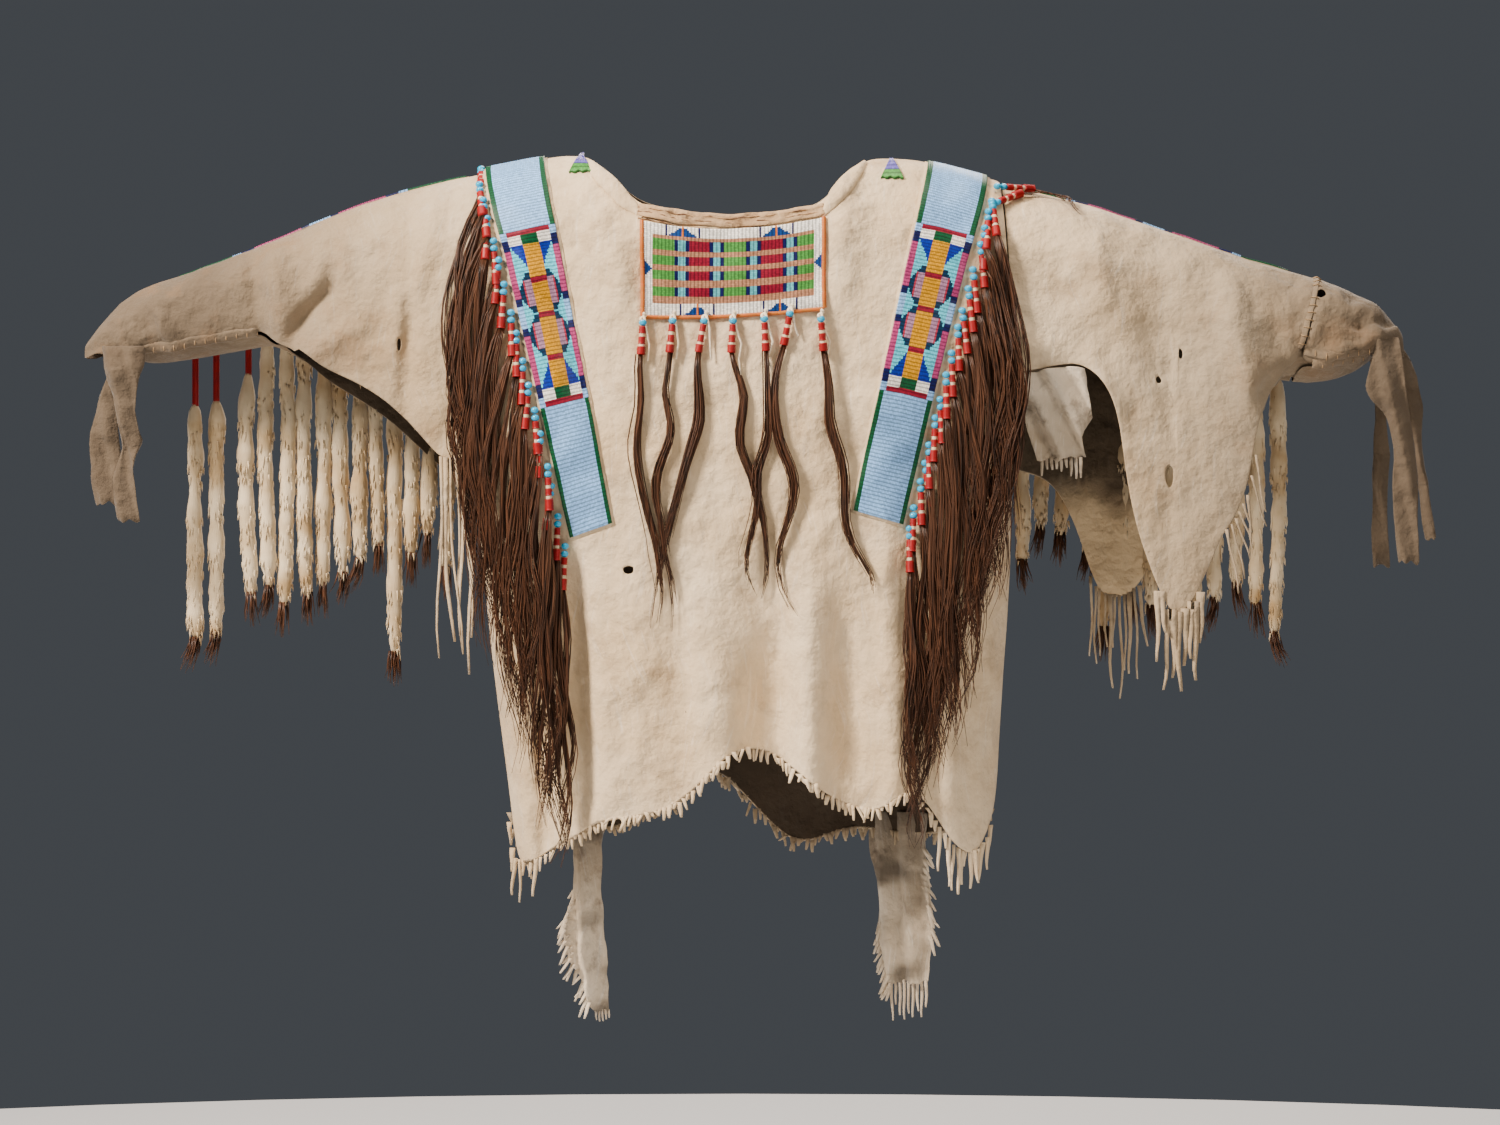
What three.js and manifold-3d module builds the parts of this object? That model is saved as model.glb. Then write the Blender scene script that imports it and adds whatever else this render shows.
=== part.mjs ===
// A plains war shirt of pale tanned hide, filled out as it is worn, with nobody in it.
// Millimetres, +Z up, +X to the right as it is seen from the front, and the front faces -Y.
// The origin is in the middle of the neck slit, level with the shoulders, where the wearer holds it up.
// "right" and "left" in the names are the wearer's own sides: right is at -X and left is at +X.
import * as THREE from "three";
import { mergeVertices } from "three/addons/utils/BufferGeometryUtils.js";
import Module from "manifold-3d";

const wasm = await Module();
wasm.setup();

// Driving dimensions of the hide and of the trimmings
const HIDE = 2;
const SEAM = 0.4;
const LIFT = 1.6;
const FORK = 2.5;
const BEADWORK = 3;
const SHOULDER_ROUND = 110;
const SHOULDER_ROWS = 6;
const BODY_ROWS = [0.1, 0.2, 0.3, 0.37, 0.43, 0.5, 0.6, 0.74, 0.87, 1];
const BODY_COLUMNS = 26;
const HEM_STRIP = 6;
const HEM_FRINGE = 15;
const CORNER_FRINGE = 42;
const CORNER = 232;
const TEETH_PER_COLUMN = 1.5;
const FRONT = -1;
const BACK = 1;

// The crest of both sleeves and shoulders, as it is seen from the front
const RIDGE = [
  { x: -753, z: -218 },
  { x: -733, z: -190 },
  { x: -710, z: -163 },
  { x: -687, z: -147 },
  { x: -606, z: -120 },
  { x: -514, z: -83 },
  { x: -445, z: -52 },
  { x: -353, z: -24 },
  { x: -286, z: -9 },
  { x: -220, z: 3 },
  { x: -163, z: 8 },
  { x: 156, z: 3 },
  { x: 187, z: 3 },
  { x: 233, z: -5 },
  { x: 291, z: -20 },
  { x: 406, z: -48 },
  { x: 486, z: -74 },
  { x: 567, z: -102 },
  { x: 647, z: -132 },
  { x: 693, z: -146 },
  { x: 739, z: -168 },
  { x: 762, z: -195 },
  { x: 776, z: -230 },
];

// Where the hide is cut for the head: the front edge sags lower than the back one
const NECK_RIGHT = -174;
const NECK_LEFT = 145;
const NECKLINE = [
  { x: -174, front: 7, back: 7 },
  { x: -144, front: -19, back: -15 },
  { x: -112, front: -55, back: -43 },
  { x: -64, front: -65, back: -52 },
  { x: -7, front: -69, back: -56 },
  { x: 51, front: -64, back: -52 },
  { x: 99, front: -55, back: -43 },
  { x: 122, front: -25, back: -19 },
  { x: 145, front: 3, back: 3 },
];

// The body's side edges, and how far its middle stands from the plane of the side seams
const BODY = [
  { z: 10, right: -292, left: 300, front: 104, back: 98 },
  { z: -150, right: -297, left: 310, front: 108, back: 102 },
  { z: -340, right: -300, left: 318, front: 114, back: 106 },
  { z: -500, right: -290, left: 314, front: 112, back: 104 },
  { z: -620, right: -277, left: 305, front: 106, back: 100 },
  { z: -780, right: -256, left: 297, front: 100, back: 96 },
  { z: -860, right: -250, left: 292, front: 98, back: 95 },
];
const BODY_CURVE = 2.5;
const ARMHOLE_SHARE = 0.6;
const SIDE_SHARE = 0.12;
const SIDE_CROWDING = 0.55;
const HEM_LEVEL = -780;
const UNDERARM = 110;
const ARMPIT = { front: { right: -335, left: -251 }, back: { right: -345, left: -356 } };

// The uneven lower edges of the two hides
const HEM_FRONT = [
  { x: -262, z: -812 },
  { x: -227, z: -804 },
  { x: -209, z: -790 },
  { x: -186, z: -779 },
  { x: -158, z: -761 },
  { x: -100, z: -752 },
  { x: -71, z: -742 },
  { x: -43, z: -722 },
  { x: -25, z: -702 },
  { x: -2, z: -681 },
  { x: 21, z: -673 },
  { x: 44, z: -681 },
  { x: 67, z: -699 },
  { x: 84, z: -716 },
  { x: 113, z: -734 },
  { x: 153, z: -750 },
  { x: 176, z: -736 },
  { x: 196, z: -722 },
  { x: 216, z: -736 },
  { x: 233, z: -768 },
  { x: 256, z: -794 },
  { x: 274, z: -800 },
  { x: 297, z: -745 },
];
const HEM_BACK = [
  { x: -262, z: -782 },
  { x: -150, z: -776 },
  { x: -77, z: -747 },
  { x: -43, z: -733 },
  { x: 0, z: -722 },
  { x: 21, z: -745 },
  { x: 50, z: -759 },
  { x: 141, z: -773 },
  { x: 199, z: -782 },
  { x: 260, z: -775 },
  { x: 297, z: -745 },
];

// The soft upright folds of the skirt: rise is outwards from the hide, and negative for a hollow
const FOLD_TOP = -450;
const FOLD_FULL = -660;
const FOLDS_FRONT = [
  { x: -238, wide: 26, rise: 8 },
  { x: -199, wide: 24, rise: -22 },
  { x: -160, wide: 26, rise: 13 },
  { x: -19, wide: 30, rise: 13 },
  { x: 29, wide: 30, rise: -24 },
  { x: 73, wide: 26, rise: 17 },
  { x: 122, wide: 34, rise: -12 },
  { x: 196, wide: 32, rise: 12 },
  { x: 243, wide: 26, rise: -12 },
];
const FOLDS_BACK = [
  { x: -210, wide: 34, rise: -14 },
  { x: -140, wide: 34, rise: 12 },
  { x: -52, wide: 34, rise: -18 },
  { x: 18, wide: 34, rise: 14 },
  { x: 96, wide: 36, rise: -16 },
  { x: 178, wide: 36, rise: 13 },
  { x: 246, wide: 28, rise: -10 },
];

// Sections of the sleeves from the armhole to the wrist: front and back are the heights of the two
// lower edges, depth is from the crest's plane to a wall, and closed is 1 where the edges are sewn together
const SLEEVE_RIGHT = [
  { x: -292, front: -333, back: -343, depth: 92, closed: 0 },
  { x: -330, front: -352, back: -364, depth: 89, closed: 0 },
  { x: -353, front: -328, back: -347, depth: 86, closed: 0 },
  { x: -370, front: -308, back: -330, depth: 83, closed: 0 },
  { x: -405, front: -276, back: -298, depth: 78, closed: 0 },
  { x: -439, front: -256, back: -274, depth: 72, closed: 0 },
  { x: -470, front: -242, back: -256, depth: 66, closed: 0 },
  { x: -503, front: -221, back: -232, depth: 60, closed: 0.15 },
  { x: -535, front: -218, back: -218, depth: 56, closed: 0.9 },
  { x: -572, front: -222, back: -222, depth: 52, closed: 1 },
  { x: -606, front: -228, back: -228, depth: 49, closed: 1 },
  { x: -640, front: -233, back: -233, depth: 46, closed: 1 },
  { x: -672, front: -237, back: -237, depth: 43, closed: 1 },
  { x: -692, front: -233, back: -233, depth: 40, closed: 0.9 },
  { x: -715, front: -228, back: -226, depth: 33, closed: 0.3 },
  { x: -735, front: -224, back: -222, depth: 24, closed: 0 },
  { x: -750, front: -228, back: -226, depth: 11, closed: 0 },
];
const SLEEVE_LEFT = [
  { x: 300, front: -250, back: -354, depth: 93, closed: 0 },
  { x: 348, front: -243, back: -362, depth: 89, closed: 0 },
  { x: 371, front: -237, back: -375, depth: 87, closed: 0 },
  { x: 394, front: -238, back: -420, depth: 85, closed: 0 },
  { x: 412, front: -252, back: -480, depth: 84, closed: 0 },
  { x: 425, front: -272, back: -502, depth: 83, closed: 0 },
  { x: 436, front: -305, back: -506, depth: 82, closed: 0 },
  { x: 444, front: -380, back: -506, depth: 81, closed: 0 },
  { x: 458, front: -424, back: -502, depth: 79, closed: 0 },
  { x: 475, front: -446, back: -480, depth: 77, closed: 0 },
  { x: 503, front: -468, back: -420, depth: 75, closed: 0 },
  { x: 530, front: -462, back: -385, depth: 71, closed: 0 },
  { x: 548, front: -432, back: -365, depth: 70, closed: 0 },
  { x: 565, front: -412, back: -345, depth: 68, closed: 0 },
  { x: 582, front: -386, back: -322, depth: 66, closed: 0 },
  { x: 592, front: -328, back: -306, depth: 65, closed: 0 },
  { x: 603, front: -286, back: -288, depth: 63, closed: 0 },
  { x: 617, front: -268, back: -272, depth: 61, closed: 0.05 },
  { x: 633, front: -258, back: -260, depth: 59, closed: 0.4 },
  { x: 652, front: -258, back: -258, depth: 57, closed: 1 },
  { x: 682, front: -258, back: -258, depth: 54, closed: 1 },
  { x: 711, front: -248, back: -248, depth: 48, closed: 1 },
  { x: 734, front: -228, back: -228, depth: 41, closed: 0.8 },
  { x: 751, front: -219, back: -219, depth: 32, closed: 0.2 },
  { x: 766, front: -226, back: -226, depth: 20, closed: 0 },
];
const SLEEVE_STEP = 32;
const SLEEVE_FRONT_ROWS = 6;
const SLEEVE_BACK_ROWS = 7;
const SLEEVE_ARC_SHARE = 0.45;
const SLEEVE_ROUND_SHARE = 0.48;
const REACH = 800;
const SLEEVE_SEAM_ANGLE = 130;
const SLEEVE_SLIT = 2;
const CUFF_SEAM = 652;
const CUFF_GAP = 2.8;
const CUFF_SLANT = 16;
const CUFF_SLANT_REACH = 70;
const SLEEVE_FOLD_SPREAD = 1.4;
const SLEEVE_FOLDS = [
  { x: -520, wide: 16, rise: -7 },
  { x: -476, wide: 22, rise: 8 },
  { x: -372, wide: 13, rise: -9 },
  { x: 405, wide: 22, rise: 7 },
  { x: 500, wide: 34, rise: -7 },
  { x: 575, wide: 20, rise: 9 },
  { x: 628, wide: 14, rise: -6 },
];

// Holes and slits worn or cut through the front of the hides
const HOLES = {
  body_front: [{ x: -123, z: -471, wide: 13, high: 8 }],
  sleeve_right: [{ x: -384, z: -214, wide: 4.5, high: 16 }],
  sleeve_left: [
    { x: 480, z: -254, wide: 7, high: 6 },
    { x: 505, z: -228, wide: 4.5, high: 10 },
    { x: 492, z: -362, wide: 10, high: 19 },
  ],
  forearm_left: [{ x: 668, z: -153, wide: 13, high: 9 }],
};
const HOLE_REACH = 200;
const HOLE_CORNERS = 6;

// Colours of the pieces, as sRGB
const COLOURS = {
  hide: 0xd9c9b0,
  bead: 0x8fb0d8,
  hair: 0x4a3228,
  fur: 0xd8cdb8,
  bib: 0xf0eee8,
};
const SURFACES = {};
for (const [name, colour] of Object.entries(COLOURS)) {
  SURFACES[name] = new THREE.MeshStandardMaterial({ color: colour, roughness: 0.85, metalness: 0 });
}

const shirt = new THREE.Group();

function add(name, geometry, surface) {
  const shape = name in HOLES ? pierce(geometry, HOLES[name]) : geometry;
  const mesh = new THREE.Mesh(shape, SURFACES[surface]);
  mesh.name = name;
  shirt.add(mesh);
}

const mix = (a, b, share) => a + (b - a) * share;
const clamp = (value, low, high) => Math.min(high, Math.max(low, value));

function ease(value, from, to) {
  const share = clamp((value - from) / (to - from), 0, 1);
  return share * share * (3 - 2 * share);
}

// A smooth line through a table's rows that never swings past them
function lineThrough(rows, at, of) {
  const sorted = [...rows].sort((a, b) => a[at] - b[at]);
  const xs = sorted.map((row) => row[at]);
  const ys = sorted.map((row) => row[of]);
  const steps = xs.slice(1).map((x, i) => (ys[i + 1] - ys[i]) / (x - xs[i]));
  const slopes = ys.map((_, i) => {
    const before = steps[i - 1] ?? steps[i];
    const after = steps[i] ?? steps[i - 1];
    return before * after <= 0 ? 0 : (2 * before * after) / (before + after);
  });
  return (x) => {
    if (x <= xs[0]) return ys[0];
    if (x >= xs.at(-1)) return ys.at(-1);
    const i = xs.findIndex((_, k) => x < xs[k + 1]);
    const wide = xs[i + 1] - xs[i];
    const t = (x - xs[i]) / wide;
    const rise = t * t * (3 - 2 * t);
    const swing = t * (1 - t) * wide;
    return mix(ys[i], ys[i + 1], rise) + swing * ((1 - t) * slopes[i] - t * slopes[i + 1]);
  };
}

function linesThrough(rows, at) {
  const names = Object.keys(rows[0]).filter((name) => name !== at);
  return Object.fromEntries(names.map((name) => [name, lineThrough(rows, at, name)]));
}

const ridge = lineThrough(RIDGE, "x", "z");
const neckline = linesThrough(NECKLINE, "x");
const body = linesThrough(BODY, "z");
const hem = { front: lineThrough(HEM_FRONT, "x", "z"), back: lineThrough(HEM_BACK, "x", "z") };

// A wall between two copies of a grid of points, moved along the grid's normals by low and high;
// limit keeps its points on their own side of a seam
function slab(grid, low, high, turned = false, limit = null) {
  const rows = grid.length;
  const columns = grid[0].length;
  const normal = (i, j) => {
    const across = new THREE.Vector3().subVectors(
      grid[i][Math.min(j + 1, columns - 1)],
      grid[i][Math.max(j - 1, 0)],
    );
    const down = new THREE.Vector3().subVectors(
      grid[Math.min(i + 1, rows - 1)][j],
      grid[Math.max(i - 1, 0)][j],
    );
    return down.cross(across).normalize().multiplyScalar(turned ? -1 : 1);
  };
  const positions = [];
  for (const lift of [low, high]) {
    for (let i = 0; i < rows; i++) {
      for (let j = 0; j < columns; j++) {
        const point = grid[i][j].clone().addScaledVector(normal(i, j), lift);
        limit?.(point);
        positions.push(point.x, point.y, point.z);
      }
    }
  }
  const at = (layer, i, j) => layer * rows * columns + i * columns + j;
  const faces = [];
  const quad = (a, b, c, d) => faces.push(a, b, c, a, c, d);
  for (let i = 0; i < rows - 1; i++) {
    for (let j = 0; j < columns - 1; j++) {
      quad(at(1, i, j), at(1, i + 1, j), at(1, i + 1, j + 1), at(1, i, j + 1));
      quad(at(0, i, j), at(0, i, j + 1), at(0, i + 1, j + 1), at(0, i + 1, j));
    }
    quad(at(0, i, 0), at(0, i + 1, 0), at(1, i + 1, 0), at(1, i, 0));
    const last = columns - 1;
    quad(at(0, i, last), at(1, i, last), at(1, i + 1, last), at(0, i + 1, last));
  }
  for (let j = 0; j < columns - 1; j++) {
    quad(at(0, 0, j), at(1, 0, j), at(1, 0, j + 1), at(0, 0, j + 1));
    const last = rows - 1;
    quad(at(0, last, j), at(0, last, j + 1), at(1, last, j + 1), at(1, last, j));
  }
  return closedShape(positions, faces);
}

// Faces point outwards, whichever way round the points were given
function closedShape(positions, faces) {
  let volume = 0;
  const corner = (k) => new THREE.Vector3().fromArray(positions, 3 * k);
  for (let k = 0; k < faces.length; k += 3) {
    volume += corner(faces[k]).dot(corner(faces[k + 1]).cross(corner(faces[k + 2])));
  }
  const outward = volume < 0 ? [...faces].reverse() : faces;
  return new THREE.BufferGeometry()
    .setAttribute("position", new THREE.Float32BufferAttribute(positions, 3))
    .setIndex(outward);
}

// A hanging strand: rings lie level, and each place on the path gives its centre, width and thickness
function strand(path, sides) {
  const positions = [];
  const faces = [];
  for (const { x, y, z, wide, thick = wide } of path) {
    for (let k = 0; k < sides; k++) {
      const turn = (2 * Math.PI * (k + 0.5)) / sides;
      positions.push(x + (wide / 2) * Math.cos(turn), y + (thick / 2) * Math.sin(turn), z);
    }
  }
  for (let i = 0; i < path.length - 1; i++) {
    for (let k = 0; k < sides; k++) {
      const next = (k + 1) % sides;
      const [a, b] = [i * sides + k, i * sides + next];
      faces.push(a, b, b + sides, a, b + sides, a + sides);
    }
  }
  const last = (path.length - 1) * sides;
  for (let k = 1; k < sides - 1; k++) {
    faces.push(0, k + 1, k, last, last + k, last + k + 1);
  }
  return closedShape(positions, faces);
}

// Joins pieces that grow out of one another into a single closed solid
function fuse(pieces) {
  return geometryOf(wasm.Manifold.union(pieces.map(solidOf)));
}

function solidOf(geometry) {
  const merged = mergeVertices(geometry, 1e-3);
  return new wasm.Manifold(
    new wasm.Mesh({
      numProp: 3,
      vertProperties: merged.attributes.position.array,
      triVerts: new Uint32Array(merged.index.array),
    }),
  );
}

// Cuts holes through the front wall of a piece
function pierce(geometry, holes) {
  let solid = solidOf(geometry);
  for (const { x, z, wide, high } of holes) {
    const bore = new THREE.CylinderGeometry(0.5, 0.5, HOLE_REACH, HOLE_CORNERS);
    bore.deleteAttribute("normal");
    bore.deleteAttribute("uv");
    bore.scale(wide, 1, high);
    bore.translate(x, -SEAM - HOLE_REACH / 2, z);
    solid = solid.subtract(solidOf(bore));
  }
  return geometryOf(solid);
}

function geometryOf(solid) {
  const mesh = solid.getMesh();
  return new THREE.BufferGeometry()
    .setAttribute("position", new THREE.BufferAttribute(mesh.vertProperties, 3))
    .setIndex(new THREE.BufferAttribute(mesh.triVerts, 1));
}

const faceName = (face) => (face === FRONT ? "front" : "back");
const sideName = (side) => (side < 0 ? "right" : "left");

function foldRise(folds, x) {
  let rise = 0;
  for (const fold of folds) {
    rise += fold.rise * Math.exp(-(((x - fold.x) / fold.wide) ** 2));
  }
  return rise;
}

// How far the body's outer face stands from the seam plane at a place seen from the front
function bodyStand(face, x, z) {
  const name = faceName(face);
  const middle = (body.right(z) + body.left(z)) / 2;
  const half = (body.left(z) - body.right(z)) / 2;
  const across = clamp((x - middle) / half, -1, 1);
  const armpit = ARMPIT[name][sideName(across)];
  const share = mix(ARMHOLE_SHARE, 1, ease(z, armpit, armpit - UNDERARM));
  const turn = clamp((ridge(x) - z) / SHOULDER_ROUND, 0, 1);
  const shoulder = Math.sqrt(1 - (1 - turn) ** 2);
  const round = Math.sqrt(Math.max(0, 1 - Math.abs(share * across) ** BODY_CURVE));
  const folds = face === FRONT ? FOLDS_FRONT : FOLDS_BACK;
  const edge = Math.min(1, (1 - Math.abs(across)) / SIDE_SHARE);
  const rise = foldRise(folds, x) * ease(z, FOLD_TOP, FOLD_FULL) * edge;
  return body[name](z) * shoulder * round + rise;
}

function onBody(face, x, z) {
  return new THREE.Vector3(x, face * Math.max(bodyStand(face, x, z), SEAM / 2), z);
}

// One column of a body hide, from the shoulder or neck edge down to the hem
function bodyColumn(face, across) {
  const name = faceName(face);
  const place = (z) => mix(body.right(z), body.left(z), (across + 1) / 2);
  let top = ridge(place(0));
  top = ridge(place(top));
  const inNeck = place(top) > NECK_RIGHT && place(top) < NECK_LEFT;
  const start = inNeck ? Math.min(top, neckline[name](place(top))) : top;
  const startTurn = Math.acos(clamp(1 - (top - start) / SHOULDER_ROUND, 0, 1));
  const foot = hem[name](place(HEM_LEVEL));
  const column = [];
  for (let row = 0; row <= SHOULDER_ROWS; row++) {
    const turn = mix(startTurn, Math.PI / 2, row / SHOULDER_ROWS);
    const z = top - SHOULDER_ROUND * (1 - Math.cos(turn));
    column.push(onBody(face, place(z), z));
  }
  for (const share of BODY_ROWS) {
    const z = mix(top - SHOULDER_ROUND, foot, share);
    column.push(onBody(face, place(z), z));
  }
  return column;
}

// Columns crowd towards the sides, where the hide turns round to the seam
const bodyColumns = Array.from({ length: BODY_COLUMNS + 1 }, (_, k) => {
  const even = (2 * k) / BODY_COLUMNS - 1;
  return mix(even, Math.sin((even * Math.PI) / 2), SIDE_CROWDING);
});

function bodyGrid(face) {
  const columns = bodyColumns.map((across) => bodyColumn(face, across));
  return columns[0].map((_, row) => columns.map((column) => column[row]));
}

// How far below a sloping edge a piece must start to keep a seam's width from it
function seamBelow(a, b) {
  return SEAM * Math.hypot(1, (b.z - a.z) / (b.x - a.x));
}

// A strip parted from the hem, cut into short pointed fringe
function hemFringe(face, lowest) {
  const top = [];
  const foot = [];
  const steps = 2 * TEETH_PER_COLUMN;
  for (let column = 0; column < lowest.length - 1; column++) {
    const [a, b] = [lowest[column], lowest[column + 1]];
    const gap = seamBelow(a, b);
    for (let step = 0; step < steps; step++) {
      const point = a.clone().lerp(b, step / steps);
      const odd = top.length % 2;
      const tooth = face === FRONT && Math.abs(point.x) > CORNER ? CORNER_FRINGE : HEM_FRINGE;
      const uneven = 0.7 + 0.3 * Math.sin(7 * column + 3 * step);
      const length = HEM_STRIP + odd * tooth * uneven;
      top.push(point.clone().setZ(point.z - gap));
      foot.push(point.clone().setZ(point.z - gap - length));
    }
  }
  const limit = (point) => point.setY(face * Math.max(face * point.y, SEAM / 2));
  return slab([top, foot], -HIDE, 0, face === BACK, limit);
}

for (const face of [FRONT, BACK]) {
  const grid = bodyGrid(face);
  const limit = (point) => point.setY(face * Math.max(face * point.y, SEAM / 2));
  add(`body_${faceName(face)}`, slab(grid, -HIDE, 0, face === BACK, limit), "hide");
  add(`hem_fringe_${faceName(face)}`, hemFringe(face, grid.at(-1)), "hide");
}

// The sleeves
const sleeves = { right: linesThrough(SLEEVE_RIGHT, "x"), left: linesThrough(SLEEVE_LEFT, "x") };

// A place on a sleeve's outer face: way runs from 0 on the crest to 1 on the lower edge
function onSleeve(side, x, face, way) {
  const sleeve = sleeves[sideName(side)];
  const crest = ridge(x);
  const depth = sleeve.depth(x);
  const lowest = sleeve[faceName(face)](x);
  const closed = sleeve.closed(x);
  const round = Math.min(SHOULDER_ROUND, SLEEVE_ROUND_SHARE * (crest - sleeve.front(x)));
  const turn = (Math.min(way / SLEEVE_ARC_SHARE, 1) * Math.PI) / 2;
  const hang = Math.max(0, (way - SLEEVE_ARC_SHARE) / (1 - SLEEVE_ARC_SHARE));
  const openStand = depth * Math.sin(turn);
  const openZ = mix(crest - round * (1 - Math.cos(turn)), lowest, hang);
  const sewn = face === FRONT ? SLEEVE_SEAM_ANGLE : 360 - SLEEVE_SEAM_ANGLE - SLEEVE_SLIT;
  const angle = (way * sewn * Math.PI) / 180;
  const half = (crest - sleeve.front(x)) / 2;
  const closedStand = depth * Math.sin(angle);
  const closedZ = crest - half * (1 - Math.cos(angle));
  const foldShare = Math.sin(Math.PI * Math.min(1, way * SLEEVE_FOLD_SPREAD)) * (1 - closed / 2);
  const fold = foldRise(SLEEVE_FOLDS, x) * foldShare;
  const stand = mix(openStand, closedStand, closed) + (face === FRONT || closed < 0.5 ? fold : 0);
  const z = mix(openZ, closedZ, closed);
  const slant = CUFF_SLANT * Math.max(0, 1 - Math.abs(x - CUFF_SEAM) / CUFF_SLANT_REACH);
  const lean = slant * (1 - (crest - z) / half);
  return new THREE.Vector3(x + lean, face * Math.max(stand, way > 0.5 ? stand : 0), z);
}

// From the back lower edge over the crest to the front lower edge
function sleeveSection(side, x, atArmhole) {
  const section = [];
  for (let row = SLEEVE_BACK_ROWS; row > 0; row--) {
    section.push(onSleeve(side, x, BACK, row / SLEEVE_BACK_ROWS));
  }
  for (let row = 0; row <= SLEEVE_FRONT_ROWS; row++) {
    section.push(onSleeve(side, x, FRONT, row / SLEEVE_FRONT_ROWS));
  }
  if (atArmhole) {
    for (const point of section) {
      const edge = body[sideName(side)](point.z);
      const face = point.y < 0 ? FRONT : BACK;
      point.set(edge + side * SEAM, point.y === 0 ? 0 : face * bodyStand(face, edge, point.z), point.z);
    }
  }
  return section;
}

// The places of a sleeve's sections: those of its table, and more where the rows lie far apart
function sectionPlaces(rows, from, to) {
  const xs = rows.map((row) => row.x);
  const places = [];
  for (let i = 0; i < xs.length - 1; i++) {
    const parts = Math.ceil(Math.abs(xs[i + 1] - xs[i]) / SLEEVE_STEP);
    for (let part = 0; part < parts; part++) {
      places.push(mix(xs[i], xs[i + 1], part / parts));
    }
  }
  places.push(xs.at(-1));
  return places.filter((x) => x >= from && x <= to);
}

function sleevePiece(side, places, fromArmhole) {
  const grid = places.map((x, k) => sleeveSection(side, x, fromArmhole && k === 0));
  const edge = body[sideName(side)];
  const limit = (point) => point.setX(side * Math.max(side * point.x, side * edge(point.z) + SEAM));
  return slab(grid, -HIDE, 0, side > 0, limit);
}

add("sleeve_right", sleevePiece(-1, sectionPlaces(SLEEVE_RIGHT, -REACH, 0), true), "hide");
const upperPlaces = sectionPlaces(SLEEVE_LEFT, 0, CUFF_SEAM - CUFF_GAP - 1);
add("sleeve_left", sleevePiece(1, [...upperPlaces, CUFF_SEAM - CUFF_GAP], true), "hide");
add("forearm_left", sleevePiece(1, sectionPlaces(SLEEVE_LEFT, CUFF_SEAM, REACH), false), "hide");

// The beaded bands that lie over the shoulders, as their two edges at the crest and at each end
const SHOULDER_BANDS = {
  right: {
    crest: { inner: -221, outer: -288 },
    front: { inner: -141, outer: -189, innerZ: -417, outerZ: -434 },
    back: { inner: -150, outer: -202, innerZ: -350, outerZ: -362 },
  },
  left: {
    crest: { inner: 219, outer: 287 },
    front: { inner: 132, outer: 188, innerZ: -403, outerZ: -419 },
    back: { inner: 152, outer: 206, innerZ: -350, outerZ: -362 },
  },
};
const BAND_COLUMNS = 2;
const BAND_STRAIGHT = 310;
const BAND_FRONT_ROWS = 8;
const BAND_BACK_ROWS = 6;

// A place on a band: along is 0 on the crest and 1 at the band's end, across is 0 at its outer edge
function onBand(side, face, along, across) {
  const band = SHOULDER_BANDS[sideName(side)];
  const end = band[faceName(face)];
  const round = SHOULDER_ROUND * (Math.PI / 2);
  const endZ = mix(end.outerZ, end.innerZ, across);
  const crestX = mix(band.crest.outer, band.crest.inner, across);
  const endX = mix(end.outer, end.inner, across);
  const crestZ = ridge(crestX);
  const straight = crestZ - SHOULDER_ROUND - endZ;
  const way = along * (round + straight);
  const turn = Math.min(way / SHOULDER_ROUND, Math.PI / 2);
  const drop = SHOULDER_ROUND * (1 - Math.cos(turn)) + Math.max(0, way - round);
  const x = mix(crestX, endX, drop / (crestZ - endZ));
  return onBody(face, x, ridge(x) - drop * ((ridge(x) - endZ) / (crestZ - endZ)));
}

function bandWays(face) {
  const round = SHOULDER_ROUND * (Math.PI / 2);
  const whole = round + BAND_STRAIGHT;
  const turns = Array.from({ length: SHOULDER_ROWS }, (_, k) => ((k + 1) * round) / SHOULDER_ROWS / whole);
  const rest = face === FRONT ? BAND_FRONT_ROWS : BAND_BACK_ROWS;
  const last = turns.at(-1);
  const below = Array.from({ length: rest }, (_, k) => mix(last, 1, (k + 1) / rest));
  return [...turns, ...below];
}

function bandGrid(side) {
  const row = (face, along) =>
    Array.from({ length: BAND_COLUMNS + 1 }, (_, k) => onBand(side, face, along, k / BAND_COLUMNS));
  const back = bandWays(BACK).reverse();
  const crest = row(FRONT, 0).map((point) => new THREE.Vector3(point.x, 0, point.z));
  return [...back.map((way) => row(BACK, way)), crest, ...bandWays(FRONT).map((way) => row(FRONT, way))];
}

for (const side of [-1, 1]) {
  add(`shoulder_band_${sideName(side)}`, slab(bandGrid(side), LIFT, LIFT + BEADWORK, side > 0), "bead");
}

// The narrow beaded bands behind the crest of each sleeve
const SLEEVE_BAND = { from: 311, to: { right: 641, left: 634 }, wide: 58, behindCrest: 5 };
const EDGE_THONG = { wide: 7, thick: 3, lift: 1.1 };

// The way round the back of a sleeve that lies a given length of hide behind its crest
function wayBehindCrest(side, x, length) {
  const step = 0.005;
  let gone = 0;
  let before = onSleeve(side, x, BACK, 0);
  for (let way = step; way < 1; way += step) {
    const point = onSleeve(side, x, BACK, way);
    gone += point.distanceTo(before);
    if (gone >= length) return way;
    before = point;
  }
  return 1;
}

function behindCrest(side, x, length) {
  return onSleeve(side, x, BACK, wayBehindCrest(side, x, length));
}

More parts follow.
